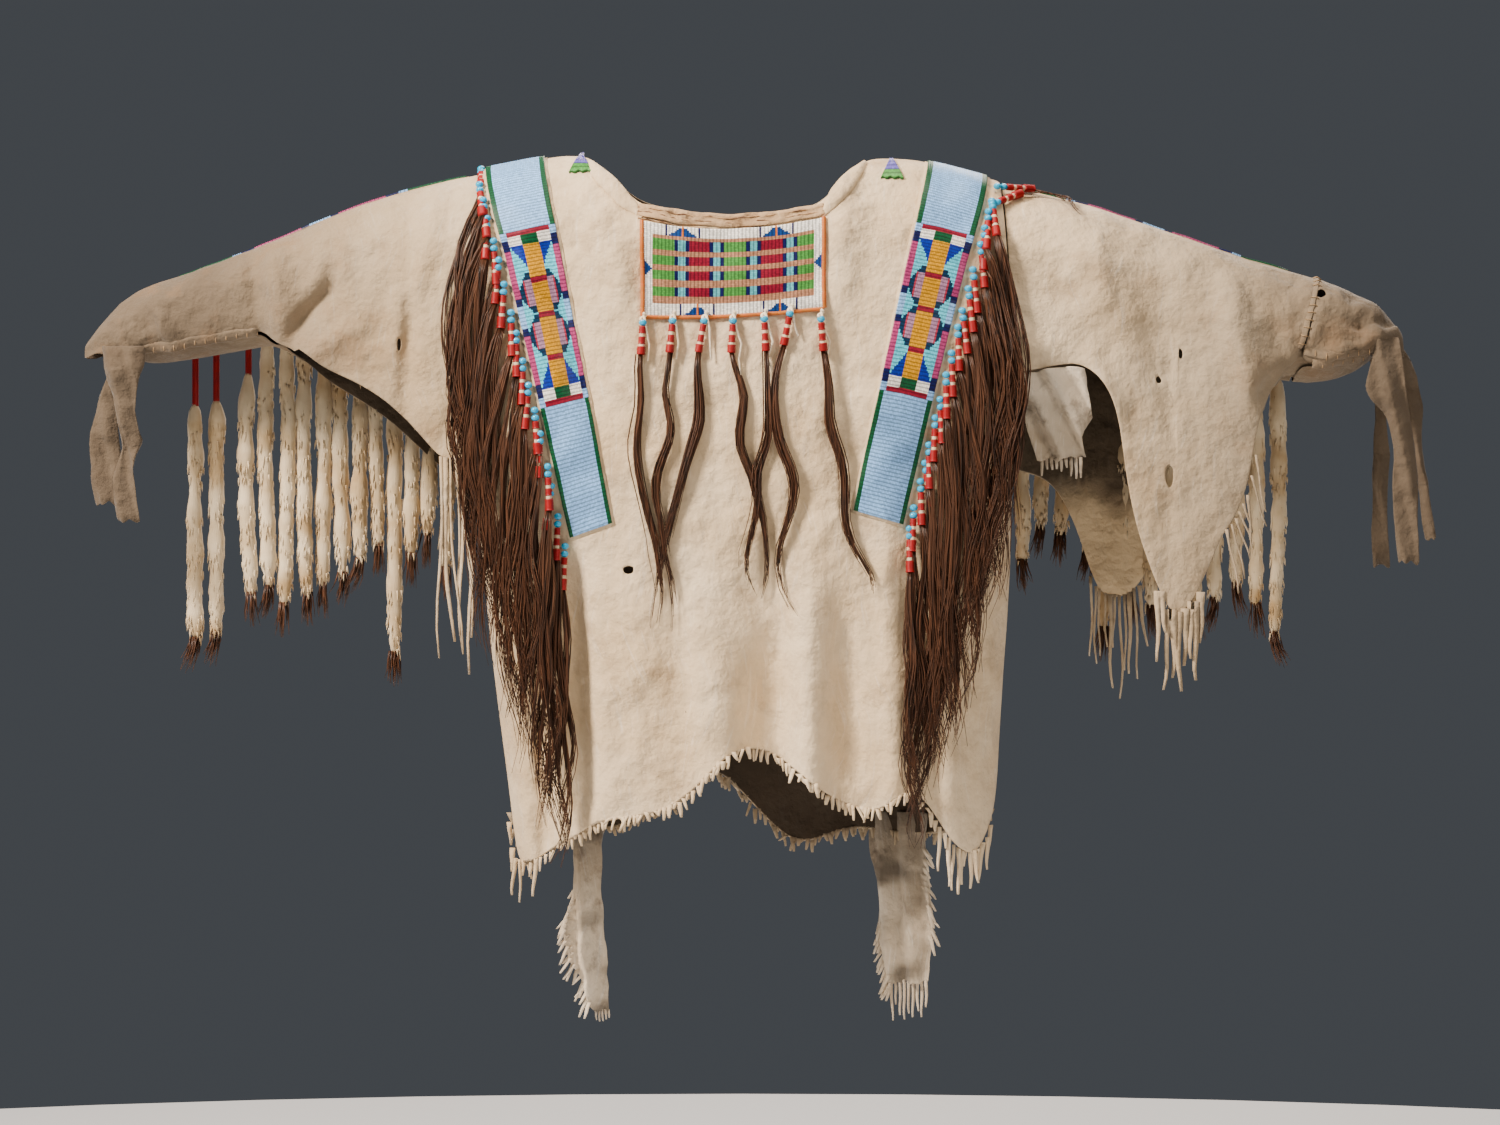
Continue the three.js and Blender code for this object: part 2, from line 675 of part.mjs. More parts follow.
function sleeveBandGrid(side, from, wide, columns) {
  const { from: near, to } = SLEEVE_BAND;
  const places = sectionPlaces(side < 0 ? SLEEVE_RIGHT : SLEEVE_LEFT, -REACH, REACH);
  const covered = places.filter((x) => side * x >= near && side * x <= to[sideName(side)]);
  return covered.map((x) =>
    Array.from({ length: columns + 1 }, (_, c) => behindCrest(side, x, from + (wide * c) / columns)),
  );
}

for (const side of [-1, 1]) {
  const grid = sleeveBandGrid(side, SLEEVE_BAND.behindCrest, SLEEVE_BAND.wide, 3);
  add(`sleeve_band_${sideName(side)}`, slab(grid, LIFT, LIFT + BEADWORK, side < 0), "bead");
}

// The beaded panel under the neck, with its upper edge sagging as the neckline does
const BIB = { left: 98, right: -106, rows: 4, columns: 9 };
const BIB_EDGES = [
  { x: -106, top: -75, foot: -183 },
  { x: -4, top: -83, foot: -182 },
  { x: 98, top: -70, foot: -173 },
];
const bibEdges = linesThrough(BIB_EDGES, "x");

function bibPoint(across, down) {
  const x = mix(BIB.right, BIB.left, across);
  return onBody(FRONT, x, mix(bibEdges.top(x), bibEdges.foot(x), down));
}

const bibGrid = Array.from({ length: BIB.rows + 1 }, (_, i) =>
  Array.from({ length: BIB.columns + 1 }, (_, j) => bibPoint(j / BIB.columns, i / BIB.rows)),
);
add("neck_bib", slab(bibGrid, LIFT, LIFT + BEADWORK), "bib");

// A lock of hair under its blue bead and its wrapped stem
const LOCK = {
  root: 3,
  bead: 8,
  stem: 6,
  stemLong: 42,
  hair: 6.5,
  fullest: 0.55,
  tip: 1.5,
  stand: 9,
  sides: 3,
};

// How far the outermost hide stands from the seam plane, on the body or on a sleeve
function outerStand(face, x, z) {
  const side = x < 0 ? -1 : 1;
  const beyond = side * x > side * body[sideName(side)](z);
  return beyond ? sleeves[sideName(side)].depth(x) : bodyStand(face, x, z);
}

function lock(root, tip, face, sway, stand) {
  const places = [
    { down: 0, wide: LOCK.root },
    { down: 10, wide: LOCK.bead },
    { down: LOCK.stemLong, wide: LOCK.stem },
    { down: (root.z - tip.z) * LOCK.fullest, wide: LOCK.hair },
    { down: root.z - tip.z, wide: LOCK.tip },
  ];
  const swing = (down) => {
    const share = down / (root.z - tip.z);
    return mix(root.x, tip.x, share) + sway * Math.sin(Math.PI * Math.sqrt(share));
  };
  let out = Math.abs(root.y);
  let gone = 0;
  const path = places.map(({ down, wide }) => {
    for (; gone < down; gone += 5) {
      out = Math.max(out, outerStand(face, swing(gone), root.z - gone) + stand);
    }
    return { x: swing(down), y: face * out, z: root.z - down, wide };
  });
  return strand(path, LOCK.sides);
}

// The rows of locks along the outer edge of each shoulder band
const LOCK_ROWS = {
  front: { from: 0.1, to: 1.02, count: 14, long: 405, fan: 20, shrink: 60 },
  back: { from: 0.16, to: 1, count: 10, long: 380, fan: 16, shrink: 40 },
};
const THONG_OUT = 0.06;
const THONG_SHARE = 0.1;
const SHOULDER_LOCKS = 0.3;

function lockRow(side, face) {
  const row = LOCK_ROWS[faceName(face)];
  const edge = Array.from({ length: row.count + 1 }, (_, k) => {
    const along = mix(row.from, row.to, k / row.count);
    const outer = onBand(side, face, along, -THONG_OUT - THONG_SHARE);
    return [outer, onBand(side, face, along, -THONG_OUT)];
  });
  const middles = edge.map(([outer, inner]) => outer.clone().lerp(inner, 0.5));
  const turned = side * face < 0;
  const pieces = [slab(edge, LIFT, LIFT + EDGE_THONG.thick, turned)];
  for (let k = 0; k < row.count; k++) {
    const share = k / (row.count - 1);
    const root = middles[k].clone().lerp(middles[k + 1], 0.5);
    const up = share < SHOULDER_LOCKS ? 1 : 0;
    const out = new THREE.Vector3(0, face, up).normalize();
    root.addScaledVector(out, LIFT + EDGE_THONG.thick / 2);
    const long = row.long - row.shrink * share;
    const tip = { x: root.x + side * 4 * (1 - share), z: root.z - long };
    pieces.push(lock(root, tip, face, side * row.fan * (1 - share), LOCK.stand));
  }
  return fuse(pieces);
}

for (const side of [-1, 1]) {
  for (const face of [FRONT, BACK]) {
    add(`hair_row_${faceName(face)}_${sideName(side)}`, lockRow(side, face), "hair");
  }
}

// The seven pendants that hang from a thong under the bib
const PENDANTS = [
  { x: -103, sway: -8, tip: -80, foot: -505 },
  { x: -73, sway: -22, tip: -74, foot: -470 },
  { x: -38, sway: 6, tip: -62, foot: -455 },
  { x: -6, sway: 16, tip: 8, foot: -480 },
  { x: 31, sway: 10, tip: 34, foot: -440 },
  { x: 60, sway: -14, tip: 72, foot: -510 },
  { x: 94, sway: -6, tip: 138, foot: -480 },
];

const BIB_THONG = 4;
const PENDANT_STAND = { under: 6, over: 13 };

function pendantRow() {
  const columns = 2 * BIB.columns;
  const grid = [0, 1].map((row) =>
    Array.from({ length: columns + 1 }, (_, k) => {
      const x = mix(BIB.right, BIB.left, k / columns);
      return onBody(FRONT, x, bibEdges.foot(x) - 2.5 * SEAM - BIB_THONG * row);
    }),
  );
  const pieces = [slab(grid, LIFT, LIFT + EDGE_THONG.thick)];
  PENDANTS.forEach(({ x, sway, tip, foot }, k) => {
    const z = bibEdges.foot(x) - 2.5 * SEAM - BIB_THONG / 2;
    const root = new THREE.Vector3(x, -(bodyStand(FRONT, x, z) + LIFT + EDGE_THONG.thick / 2), z);
    const stand = k % 2 ? PENDANT_STAND.over : PENDANT_STAND.under;
    pieces.push(lock(root, { x: tip, z: foot }, FRONT, sway, stand));
  });
  return fuse(pieces);
}

add("bib_pendants", pendantRow(), "hair");

// Ermine skins sewn into tubes, hung from a thong along the lower edge of each sleeve band:
// fur is the height where the fur starts, and foot is where the skin ends and the tail begins
const ERMINE_RIGHT = [
  { x: -628, fur: -282, foot: -552 },
  { x: -604, fur: -276, foot: -546 },
  { x: -567, fur: -244, foot: -500 },
  { x: -545, fur: -200, foot: -492 },
  { x: -524, fur: -195, foot: -512 },
  { x: -502, fur: -188, foot: -500 },
  { x: -481, fur: -180, foot: -489 },
  { x: -460, fur: -175, foot: -477 },
  { x: -439, fur: -170, foot: -460 },
  { x: -419, fur: -165, foot: -443 },
  { x: -399, fur: -160, foot: -569 },
  { x: -379, fur: -155, foot: -454 },
  { x: -359, fur: -150, foot: -432 },
  { x: -338, fur: -145, foot: -470 },
];
const ERMINE_LEFT = [
  { x: 626, fur: -250, foot: -546 },
  { x: 603, fur: -235, foot: -512 },
  { x: 580, fur: -225, foot: -489 },
  { x: 555, fur: -215, foot: -506 },
  { x: 530, fur: -205, foot: -515 },
  { x: 505, fur: -200, foot: -520 },
  { x: 480, fur: -190, foot: -515 },
  { x: 455, fur: -185, foot: -500 },
  { x: 430, fur: -175, foot: -540 },
  { x: 405, fur: -170, foot: -450 },
  { x: 380, fur: -160, foot: -430 },
  { x: 355, fur: -155, foot: -420 },
  { x: 333, fur: -150, foot: -462 },
];
const ERMINE = { wide: 17, stalk: 4, tail: 7, tailLong: 32, sides: 4, off: 14, bend: 30, fur: 40, taper: 20 };

function ermineRow(side, tubes) {
  const start = SLEEVE_BAND.behindCrest + SLEEVE_BAND.wide + 1.5;
  const grid = sleeveBandGrid(side, start, EDGE_THONG.wide, 1);
  const thong = slab(grid, EDGE_THONG.lift, EDGE_THONG.lift + EDGE_THONG.thick, side < 0);
  const sleeve = sleeves[sideName(side)];
  const middles = grid.map(([above, below]) => above.clone().lerp(below, 0.5));
  const pieces = tubes.map(({ x, fur, foot }) => {
    const next = middles.findIndex((point) => Math.abs(point.x) > Math.abs(x));
    const [a, b] = [middles[next - 1], middles[next]];
    const root = a.clone().lerp(b, (x - a.x) / (b.x - a.x));
    const out = Math.max(sleeve.depth(x), root.y) + ERMINE.off;
    const lift = (EDGE_THONG.lift + EDGE_THONG.thick / 2) * Math.SQRT1_2;
    const path = [
      { z: root.z + lift, y: root.y + lift, wide: ERMINE.stalk },
      { z: root.z - ERMINE.bend, y: out, wide: ERMINE.stalk },
      { z: Math.min(fur, root.z - ERMINE.fur), y: out, wide: ERMINE.wide },
      { z: foot + ERMINE.taper, y: out, wide: ERMINE.wide },
      { z: foot, y: out, wide: ERMINE.tail },
      { z: foot - ERMINE.tailLong, y: out, wide: ERMINE.tail * 0.7 },
    ];
    return strand(path.map((place) => ({ x: root.x, ...place })), ERMINE.sides);
  });
  return fuse([thong, ...pieces]);
}

add("ermine_row_right", ermineRow(-1, ERMINE_RIGHT), "fur");
add("ermine_row_left", ermineRow(1, ERMINE_LEFT), "fur");

// Pieces of hide that hang by themselves, as rows from the top down: from and to are the two edges,
// y is the depth of the piece there, and curl is how far its middle stands forward of its edges
const FLAPS = {
  cuff_tie_back_right: [
    { z: -200, from: -726, to: -712, y: 38, curl: 0 },
    { z: -228, from: -727, to: -713, y: 36, curl: 1 },
    { z: -259, from: -731, to: -716, y: 33, curl: 2 },
    { z: -296, from: -746, to: -716, y: 30, curl: 4 },
    { z: -353, from: -748, to: -711, y: 29, curl: 3 },
    { z: -394, from: -743, to: -716, y: 29, curl: 3 },
  ],
  cuff_tie_front_right: [
    { z: -214, from: -728, to: -680, y: -44, curl: 0 },
    { z: -239, from: -727, to: -677, y: -40, curl: 8 },
    { z: -265, from: -719, to: -689, y: -36, curl: 7 },
    { z: -296, from: -708, to: -688, y: -32, curl: 5 },
    { z: -322, from: -703, to: -682, y: -30, curl: -5 },
    { z: -341, from: -709, to: -692, y: -30, curl: -4 },
    { z: -392, from: -714, to: -687, y: -32, curl: 5 },
    { z: -415, from: -708, to: -684, y: -32, curl: 4 },
  ],
  cuff_tie_outer_left: [
    { z: -210, from: 746, to: 764, y: 39, curl: 0 },
    { z: -229, from: 754, to: 778, y: 33, curl: 2 },
    { z: -254, from: 760, to: 787, y: 33, curl: 3 },
    { z: -279, from: 764, to: 793, y: 31, curl: 4 },
    { z: -305, from: 768, to: 789, y: 30, curl: 4 },
    { z: -335, from: 775, to: 793, y: 30, curl: 3 },
    { z: -360, from: 783, to: 797, y: 30, curl: 3 },
    { z: -435, from: 794, to: 809, y: 30, curl: 3 },
  ],
  cuff_tie_middle_left: [
    { z: -204, from: 727, to: 760, y: -47, curl: 0 },
    { z: -232, from: 726, to: 762, y: -44, curl: 3 },
    { z: -262, from: 717, to: 765, y: -42, curl: 7 },
    { z: -279, from: 728, to: 767, y: -40, curl: 7 },
    { z: -299, from: 748, to: 769, y: -38, curl: 5 },
    { z: -339, from: 749, to: 777, y: -36, curl: 5 },
    { z: -409, from: 752, to: 781, y: -34, curl: 3 },
    { z: -462, from: 756, to: 781, y: -34, curl: 3 },
  ],
  cuff_tie_inner_left: [
    { z: -205, from: 729, to: 742, y: 43, curl: 0 },
    { z: -232, from: 733, to: 746, y: 42, curl: 1 },
    { z: -290, from: 741, to: 754, y: 40, curl: 2 },
    { z: -384, from: 731, to: 752, y: 36, curl: 5 },
    { z: -467, from: 736, to: 754, y: 36, curl: 3 },
  ],
  back_leg_right: [
    { z: -752, from: -198, to: -152, y: 0, curl: 0 },
    { z: -803, from: -187, to: -155, y: 0, curl: 4 },
    { z: -856, from: -194, to: -155, y: 0, curl: 9 },
    { z: -880, from: -202, to: -153, y: 0, curl: 10 },
    { z: -906, from: -198, to: -151, y: 0, curl: 9 },
    { z: -935, from: -190, to: -149, y: 0, curl: 7 },
    { z: -962, from: -175, to: -148, y: 0, curl: 5 },
    { z: -985, from: -166, to: -148, y: 0, curl: 4 },
  ],
  back_leg_left: [
    { z: -752, from: 150, to: 223, y: 0, curl: 0 },
    { z: -811, from: 152, to: 218, y: 0, curl: 8 },
    { z: -838, from: 168, to: 221, y: 0, curl: 10 },
    { z: -866, from: 164, to: 229, y: 0, curl: 11 },
    { z: -896, from: 160, to: 226, y: 0, curl: 11 },
    { z: -918, from: 170, to: 223, y: 0, curl: 10 },
    { z: -950, from: 177, to: 221, y: 0, curl: 9 },
  ],
  armpit_flap_left: [
    { z: -245, from: 318, to: 396, y: -85, curl: 0 },
    { z: -285, from: 322, to: 408, y: -76, curl: 5 },
    { z: -310, from: 330, to: 396, y: -72, curl: 7 },
    { z: -345, from: 344, to: 394, y: -70, curl: 6 },
  ],
};
const FLAP_COLUMNS = 4;

function flapGrid(rows, hangs, rooted) {
  return rows.map(({ z, from, to, y, curl }, row) =>
    Array.from({ length: FLAP_COLUMNS + 1 }, (_, k) => {
      const share = k / FLAP_COLUMNS;
      const x = mix(from, to, share);
      if (row === 0 && rooted) return rooted(x, z);
      const level = hangs ? hangs(x, z) : y;
      return new THREE.Vector3(x, level - curl * Math.sin(Math.PI * share), z);
    }),
  );
}

// How far a sleeve's outer face stands from the crest's plane at a place seen from the front
function sleeveStand(side, face, x, z) {
  const steps = 60;
  const points = Array.from({ length: steps + 1 }, (_, k) => onSleeve(side, x, face, k / steps));
  const nearer = (a, b) => (Math.abs(b.z - z) < Math.abs(a.z - z) ? b : a);
  const nearest = points.reduce(nearer);
  return Math.abs(nearest.y);
}

// The root of a tie that is sewn on the outside of a cuff
const rootOnCuff = (side, face) => (x, z) => {
  const clear = face === FRONT ? HIDE + SEAM : 0;
  return new THREE.Vector3(x, face * (sleeveStand(side, face, x, z) + clear), z);
};

// The root of a flap that is sewn to the lower edge of the left sleeve's front
function rootUnderSleeve(x) {
  const places = sectionPlaces(SLEEVE_LEFT, 0, REACH);
  const next = places.findIndex((place) => place > x);
  const [a, b] = [places[next - 1], places[next]].map((place) => onSleeve(1, place, FRONT, 1));
  const point = a.lerp(b, (x - a.x) / (b.x - a.x));
  return point.setZ(point.z - 3 * SEAM);
}

const FLAP_ROOTS = {
  cuff_tie_back_right: rootOnCuff(-1, BACK),
  cuff_tie_front_right: rootOnCuff(-1, FRONT),
  cuff_tie_outer_left: rootOnCuff(1, BACK),
  cuff_tie_middle_left: rootOnCuff(1, FRONT),
  cuff_tie_inner_left: rootOnCuff(1, BACK),
  armpit_flap_left: rootUnderSleeve,
};

// The hind legs of the back hide hang inside its lower edge
function insideBack(x, z) {
  const kept = Math.max(z, HEM_LEVEL);
  return bodyStand(BACK, x, kept) - 2 * HIDE - FORK;
}

const flapGrids = {};
for (const [name, rows] of Object.entries(FLAPS)) {
  const hangs = name.startsWith("back_leg") ? insideBack : null;
  flapGrids[name] = flapGrid(rows, hangs, FLAP_ROOTS[name]);
  add(name, slab(flapGrids[name], -HIDE, 0), "hide");
}

// Long cut fringe: a narrow strip along an edge, with strands that hang from it
const STRAND = { share: 0.62, tip: 0.55, thick: 1.8, turn: 2.1, strip: 6 };

function longFringe(edge, strands, sides = 4) {
  const gaps = edge.slice(1).map((point, k) => seamBelow(edge[k], point));
  const gap = 1.5 * Math.max(...gaps);
  const grid = [gap, gap + STRAND.strip].map((drop) =>
    edge.map((point) => new THREE.Vector3(point.x, point.y, point.z - drop)),
  );
  const wide = edge.at(-1).x - edge[0].x;
  const at = (share) => {
    const place = share * (edge.length - 1);
    const first = Math.min(edge.length - 2, Math.floor(place));
    return edge[first].clone().lerp(edge[first + 1], place - first);
  };
  const pieces = strands.lengths.map((length, k) => {
    const root = at((k + 0.5) / strands.lengths.length);
    const each = (Math.abs(wide) / strands.lengths.length) * STRAND.share;
    const drift = strands.drift * Math.sin(STRAND.turn * (k + 1));
    const path = [0, 0.4, 0.75, 1].map((share) => ({
      x: root.x + strands.lean * share + drift * share * share,
      y: root.y + HIDE / 2,
      z: root.z - gap - STRAND.strip / 2 - length * share,
      wide: each * mix(1, STRAND.tip, share),
      thick: STRAND.thick,
    }));
    return strand(path, sides);
  });
  return fuse([slab(grid, -HIDE, 0), ...pieces]);
}

// The fringes on the lower ends of the flaps, each by its strands' lengths
const END_FRINGES = [
  { name: "leg_fringe_right", under: "back_leg_right", lengths: [12, 9, 11], lean: 0 },
  { name: "leg_fringe_left", under: "back_leg_left", lengths: [24, 38, 34, 46, 50, 42], lean: 2 },
  { name: "armpit_fringe_left", under: "armpit_flap_left", lengths: [20, 17, 21, 18, 16], lean: 1 },
];
for (const { name, under, lengths, lean } of END_FRINGES) {
  add(name, longFringe(flapGrids[under].at(-1), { lengths, lean, drift: 1 }), "hide");
}

// The fringes along stretches of the sleeves' lower edges, aside keeping a strip off a steep edge
const EDGE_FRINGES = [
  { name: "sleeve_fringe_front_left", face: FRONT, from: 474, to: 549, aside: 0, lean: 3,
    lengths: [86, 62, 70, 74, 66, 70, 52] },
  { name: "sleeve_fringe_wrist_left", face: FRONT, from: 565, to: 592, aside: 1, lean: 14,
    lengths: [78, 60, 42] },
  { name: "sleeve_fringe_back_left", face: BACK, from: 412, to: 476, aside: 0, lean: 2,
    lengths: [70, 92, 104, 96, 88, 60] },
  { name: "flank_fringe_right", face: FRONT, from: -340, to: -300, aside: 0, lean: 6,
    lengths: [250, 238, 262, 230] },
];
for (const { name, face, from, to, aside, lean, lengths } of EDGE_FRINGES) {
  const side = from < 0 ? -1 : 1;
  const places = sectionPlaces(side < 0 ? SLEEVE_RIGHT : SLEEVE_LEFT, from, to);
  const edge = places.map((x) => onSleeve(side, x, face, 1)).sort((a, b) => a.x - b.x);
  const root = edge.map((point) => point.setX(point.x + aside));
  add(name, longFringe(root, { lengths, lean, drift: 2 }), "hide");
}

export default shirt;
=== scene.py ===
import math
import random

import bmesh
import bpy
from mathutils import Matrix, Vector, noise
from mathutils.bvhtree import BVHTree


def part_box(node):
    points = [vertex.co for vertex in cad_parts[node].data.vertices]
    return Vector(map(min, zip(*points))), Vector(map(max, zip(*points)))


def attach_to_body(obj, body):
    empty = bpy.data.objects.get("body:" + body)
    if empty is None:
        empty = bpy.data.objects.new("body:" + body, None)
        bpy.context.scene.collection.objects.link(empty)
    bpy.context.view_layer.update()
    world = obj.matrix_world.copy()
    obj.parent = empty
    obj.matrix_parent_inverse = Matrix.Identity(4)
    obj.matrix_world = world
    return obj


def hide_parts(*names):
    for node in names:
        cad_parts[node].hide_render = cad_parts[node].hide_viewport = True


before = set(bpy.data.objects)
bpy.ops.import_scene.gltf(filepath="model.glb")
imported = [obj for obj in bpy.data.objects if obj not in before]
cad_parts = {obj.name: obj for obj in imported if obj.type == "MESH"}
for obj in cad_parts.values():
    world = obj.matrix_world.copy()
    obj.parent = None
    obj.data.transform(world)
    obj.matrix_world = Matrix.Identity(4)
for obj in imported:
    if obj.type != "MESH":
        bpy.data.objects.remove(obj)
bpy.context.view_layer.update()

# The view
# A long lens from straight in front: the picture is 1500 pixels wide at 1.15 mm a pixel, and its middle
# lies below the shoulders. The floor is pale and plain, and broad soft lamps stand round the shirt.
PIXEL = 0.00115
PICTURE_WIDE = 1500 * PIXEL
PICTURE_MIDDLE = Vector((0.015, 0, -0.462))
STAND_OFF = 7.0
SENSOR = 36


def tint(colour):
    """An sRGB hex value as linear red, green, blue and alpha."""
    parts = [int(colour[k:k + 2], 16) / 255 for k in (1, 3, 5)]
    linear = [p / 12.92 if p <= 0.04045 else ((p + 0.055) / 1.055) ** 2.4 for p in parts]
    return (*linear, 1)


def add_node(material, kind, settings=None, inputs=None):
    """Adds a shader node; each input is a plain value or another node's output."""
    tree = material.node_tree
    made = tree.nodes.new("ShaderNode" + kind)
    for name, value in (settings or {}).items():
        setattr(made, name, value)
    for name, value in (inputs or {}).items():
        if isinstance(value, bpy.types.NodeSocket):
            tree.links.new(value, made.inputs[name])
        else:
            made.inputs[name].default_value = value
    return made


def new_material(name, values):
    """A material, its shader with these values set, and its Object coordinates."""
    material = bpy.data.materials.new(name)
    material.use_nodes = True
    shader = material.node_tree.nodes["Principled BSDF"]
    for socket, value in values.items():
        shader.inputs[socket].default_value = value
    return material, shader, add_node(material, "TexCoord").outputs["Object"]


def feed(shader, socket, output):
    shader.id_data.links.new(output, shader.inputs[socket])


def cloud(material, vector, scale, detail=2.0, roughness=0.5):
    return add_node(material, "TexNoise", None,
                    {"Vector": vector, "Scale": scale, "Detail": detail, "Roughness": roughness})


def ramp(material, value, *stops):
    """The colour between two stops, each a position and a hex value."""
    made = add_node(material, "ValToRGB", None, {"Fac": value})
    for element, (position, colour) in zip(made.color_ramp.elements, stops):
        element.position = position
        element.color = tint(colour)
    return made.outputs["Color"]


def ranged(material, value, low, high, least=0.0, most=1.0):
    """Least to most as the value goes from low to high."""
    return add_node(material, "MapRange", None, {"Value": value, "From Min": low, "From Max": high,
                                                 "To Min": least, "To Max": most}).outputs[0]


def sum_up(material, operation, *values):
    return add_node(material, "Math", {"operation": operation}, dict(enumerate(values))).outputs[0]


def laid_over(material, share, under, over, blend="MIX"):
    return add_node(material, "Mix", {"data_type": "RGBA", "blend_type": blend},
                    {0: share, 6: under, 7: over}).outputs[2]


def bump(material, height, strength, distance, under=None):
    inputs = {"Height": height, "Strength": strength, "Distance": distance}
    if under:
        inputs["Normal"] = under
    return add_node(material, "Bump", None, inputs).outputs[0]


def link(name, mesh, material):
    """A new piece with this mesh, shaded smooth."""
    mesh.materials.clear()
    mesh.materials.append(material)
    mesh.polygons.foreach_set("use_smooth", [True] * len(mesh.polygons))
    piece = bpy.data.objects.new(name, mesh)
    bpy.context.scene.collection.objects.link(piece)
    return piece


def piece_of(bm, name, material):
    """A new piece from a bmesh, which is freed."""
    mesh = bpy.data.meshes.new(name)
    bm.to_mesh(mesh)
    bm.free()
    return link(name, mesh, material)


def grid(columns, rows):
    """A flat square from -0.5 to 0.5, to be bent into a strip or panel."""
    bm = bmesh.new()
    bmesh.ops.create_grid(bm, x_segments=columns, y_segments=rows, size=0.5)
    return bm


def walled(piece, thick, offset=0):
    wall = piece.modifiers.new("hide thickness", "SOLIDIFY")
    wall.thickness = thick
    wall.offset = offset


def rounded(piece, levels):
    rounding = piece.modifiers.new("rounding", "SUBSURF")
    rounding.levels = levels
    rounding.render_levels = levels


def settled(piece, name):
    """The mesh that a piece's modifiers or curve make; the piece itself is removed."""
    bpy.context.view_layer.update()
    mesh = bpy.data.meshes.new_from_object(piece.evaluated_get(bpy.context.evaluated_depsgraph_get()))
    mesh.name = name
    bpy.data.objects.remove(piece)
    return mesh


def clamp(value):
    return min(1, max(0, value))


def mix(a, b, share):
    return a + (b - a) * share


camera_data = bpy.data.cameras.new("camera")
camera_data.sensor_width = SENSOR
camera_data.lens = SENSOR * STAND_OFF / PICTURE_WIDE
camera = bpy.data.objects.new("camera", camera_data)
camera.location = PICTURE_MIDDLE + Vector((0, -STAND_OFF, 0))
camera.rotation_euler = (math.radians(90), 0, 0)
bpy.context.scene.collection.objects.link(camera)
bpy.context.scene.camera = camera

# Place, width in metres and watts
LAMPS = {
    "key": ((-2.9, -2.3, 2.2), 0.9, 520),
    "fill": ((2.9, -3.4, 1.3), 1.6, 62),
    "top": ((0.2, -0.4, 2.8), 1.8, 90),
    "back": ((0.8, 4.2, 2.4), 2.4, 230),
}
for name, (place, wide, watts) in LAMPS.items():
    light_data = bpy.data.lights.new(name, "AREA")
    light_data.size = wide
    light_data.energy = watts
    light_data.color = tint("#FFF1E3")[:3]
    light = bpy.data.objects.new(name, light_data)
    light.location = place
    light.rotation_euler = (PICTURE_MIDDLE - Vector(place)).to_track_quat("-Z", "Y").to_euler()
    bpy.context.scene.collection.objects.link(light)

surround = bpy.data.worlds.new("surround")
surround.use_nodes = True
ground = surround.node_tree.nodes["Background"].inputs
ground["Color"].default_value = tint("#7C8188")
ground["Strength"].default_value = 0.30
bpy.context.scene.world = surround

FLOOR_LEVEL = -1.3
FLOOR_HALF = 2.6
paper, _, _ = new_material("matte studio floor", {"Base Color": tint("#C9CBCE"), "Roughness": 0.9})
bm = bmesh.new()
bmesh.ops.create_circle(bm, cap_ends=True, segments=64, radius=FLOOR_HALF)
bmesh.ops.translate(bm, verts=bm.verts, vec=(0, 0, FLOOR_LEVEL))
piece_of(bm, "floor", paper)

# The tanned hides
# Two whole hides make the body, a folded half hide each sleeve, and a pieced end the left forearm.
# They are brain-tanned, cut with a knife and left with raw edges, and sewn to one another with sinew.
# Flat width, length and area in metres
HIDES = {
    "body_front": ("front_hide", 0.68, 0.86, 0.50),
    "body_back": ("back_hide", 0.68, 0.84, 0.50),
    "sleeve_right": ("right_sleeve_hide", 0.50, 0.72, 0.20),
    "sleeve_left": ("left_sleeve_hide", 0.42, 0.86, 0.23),
    "forearm_left": ("left_forearm_hide", 0.14, 0.28, 0.033),
}
MM = 0.001
SHOULDER_ROUND = 0.110
SIDE_SEAM = 0.295
WRIST_FROM = 0.62
WRIST_ROUND = 0.050

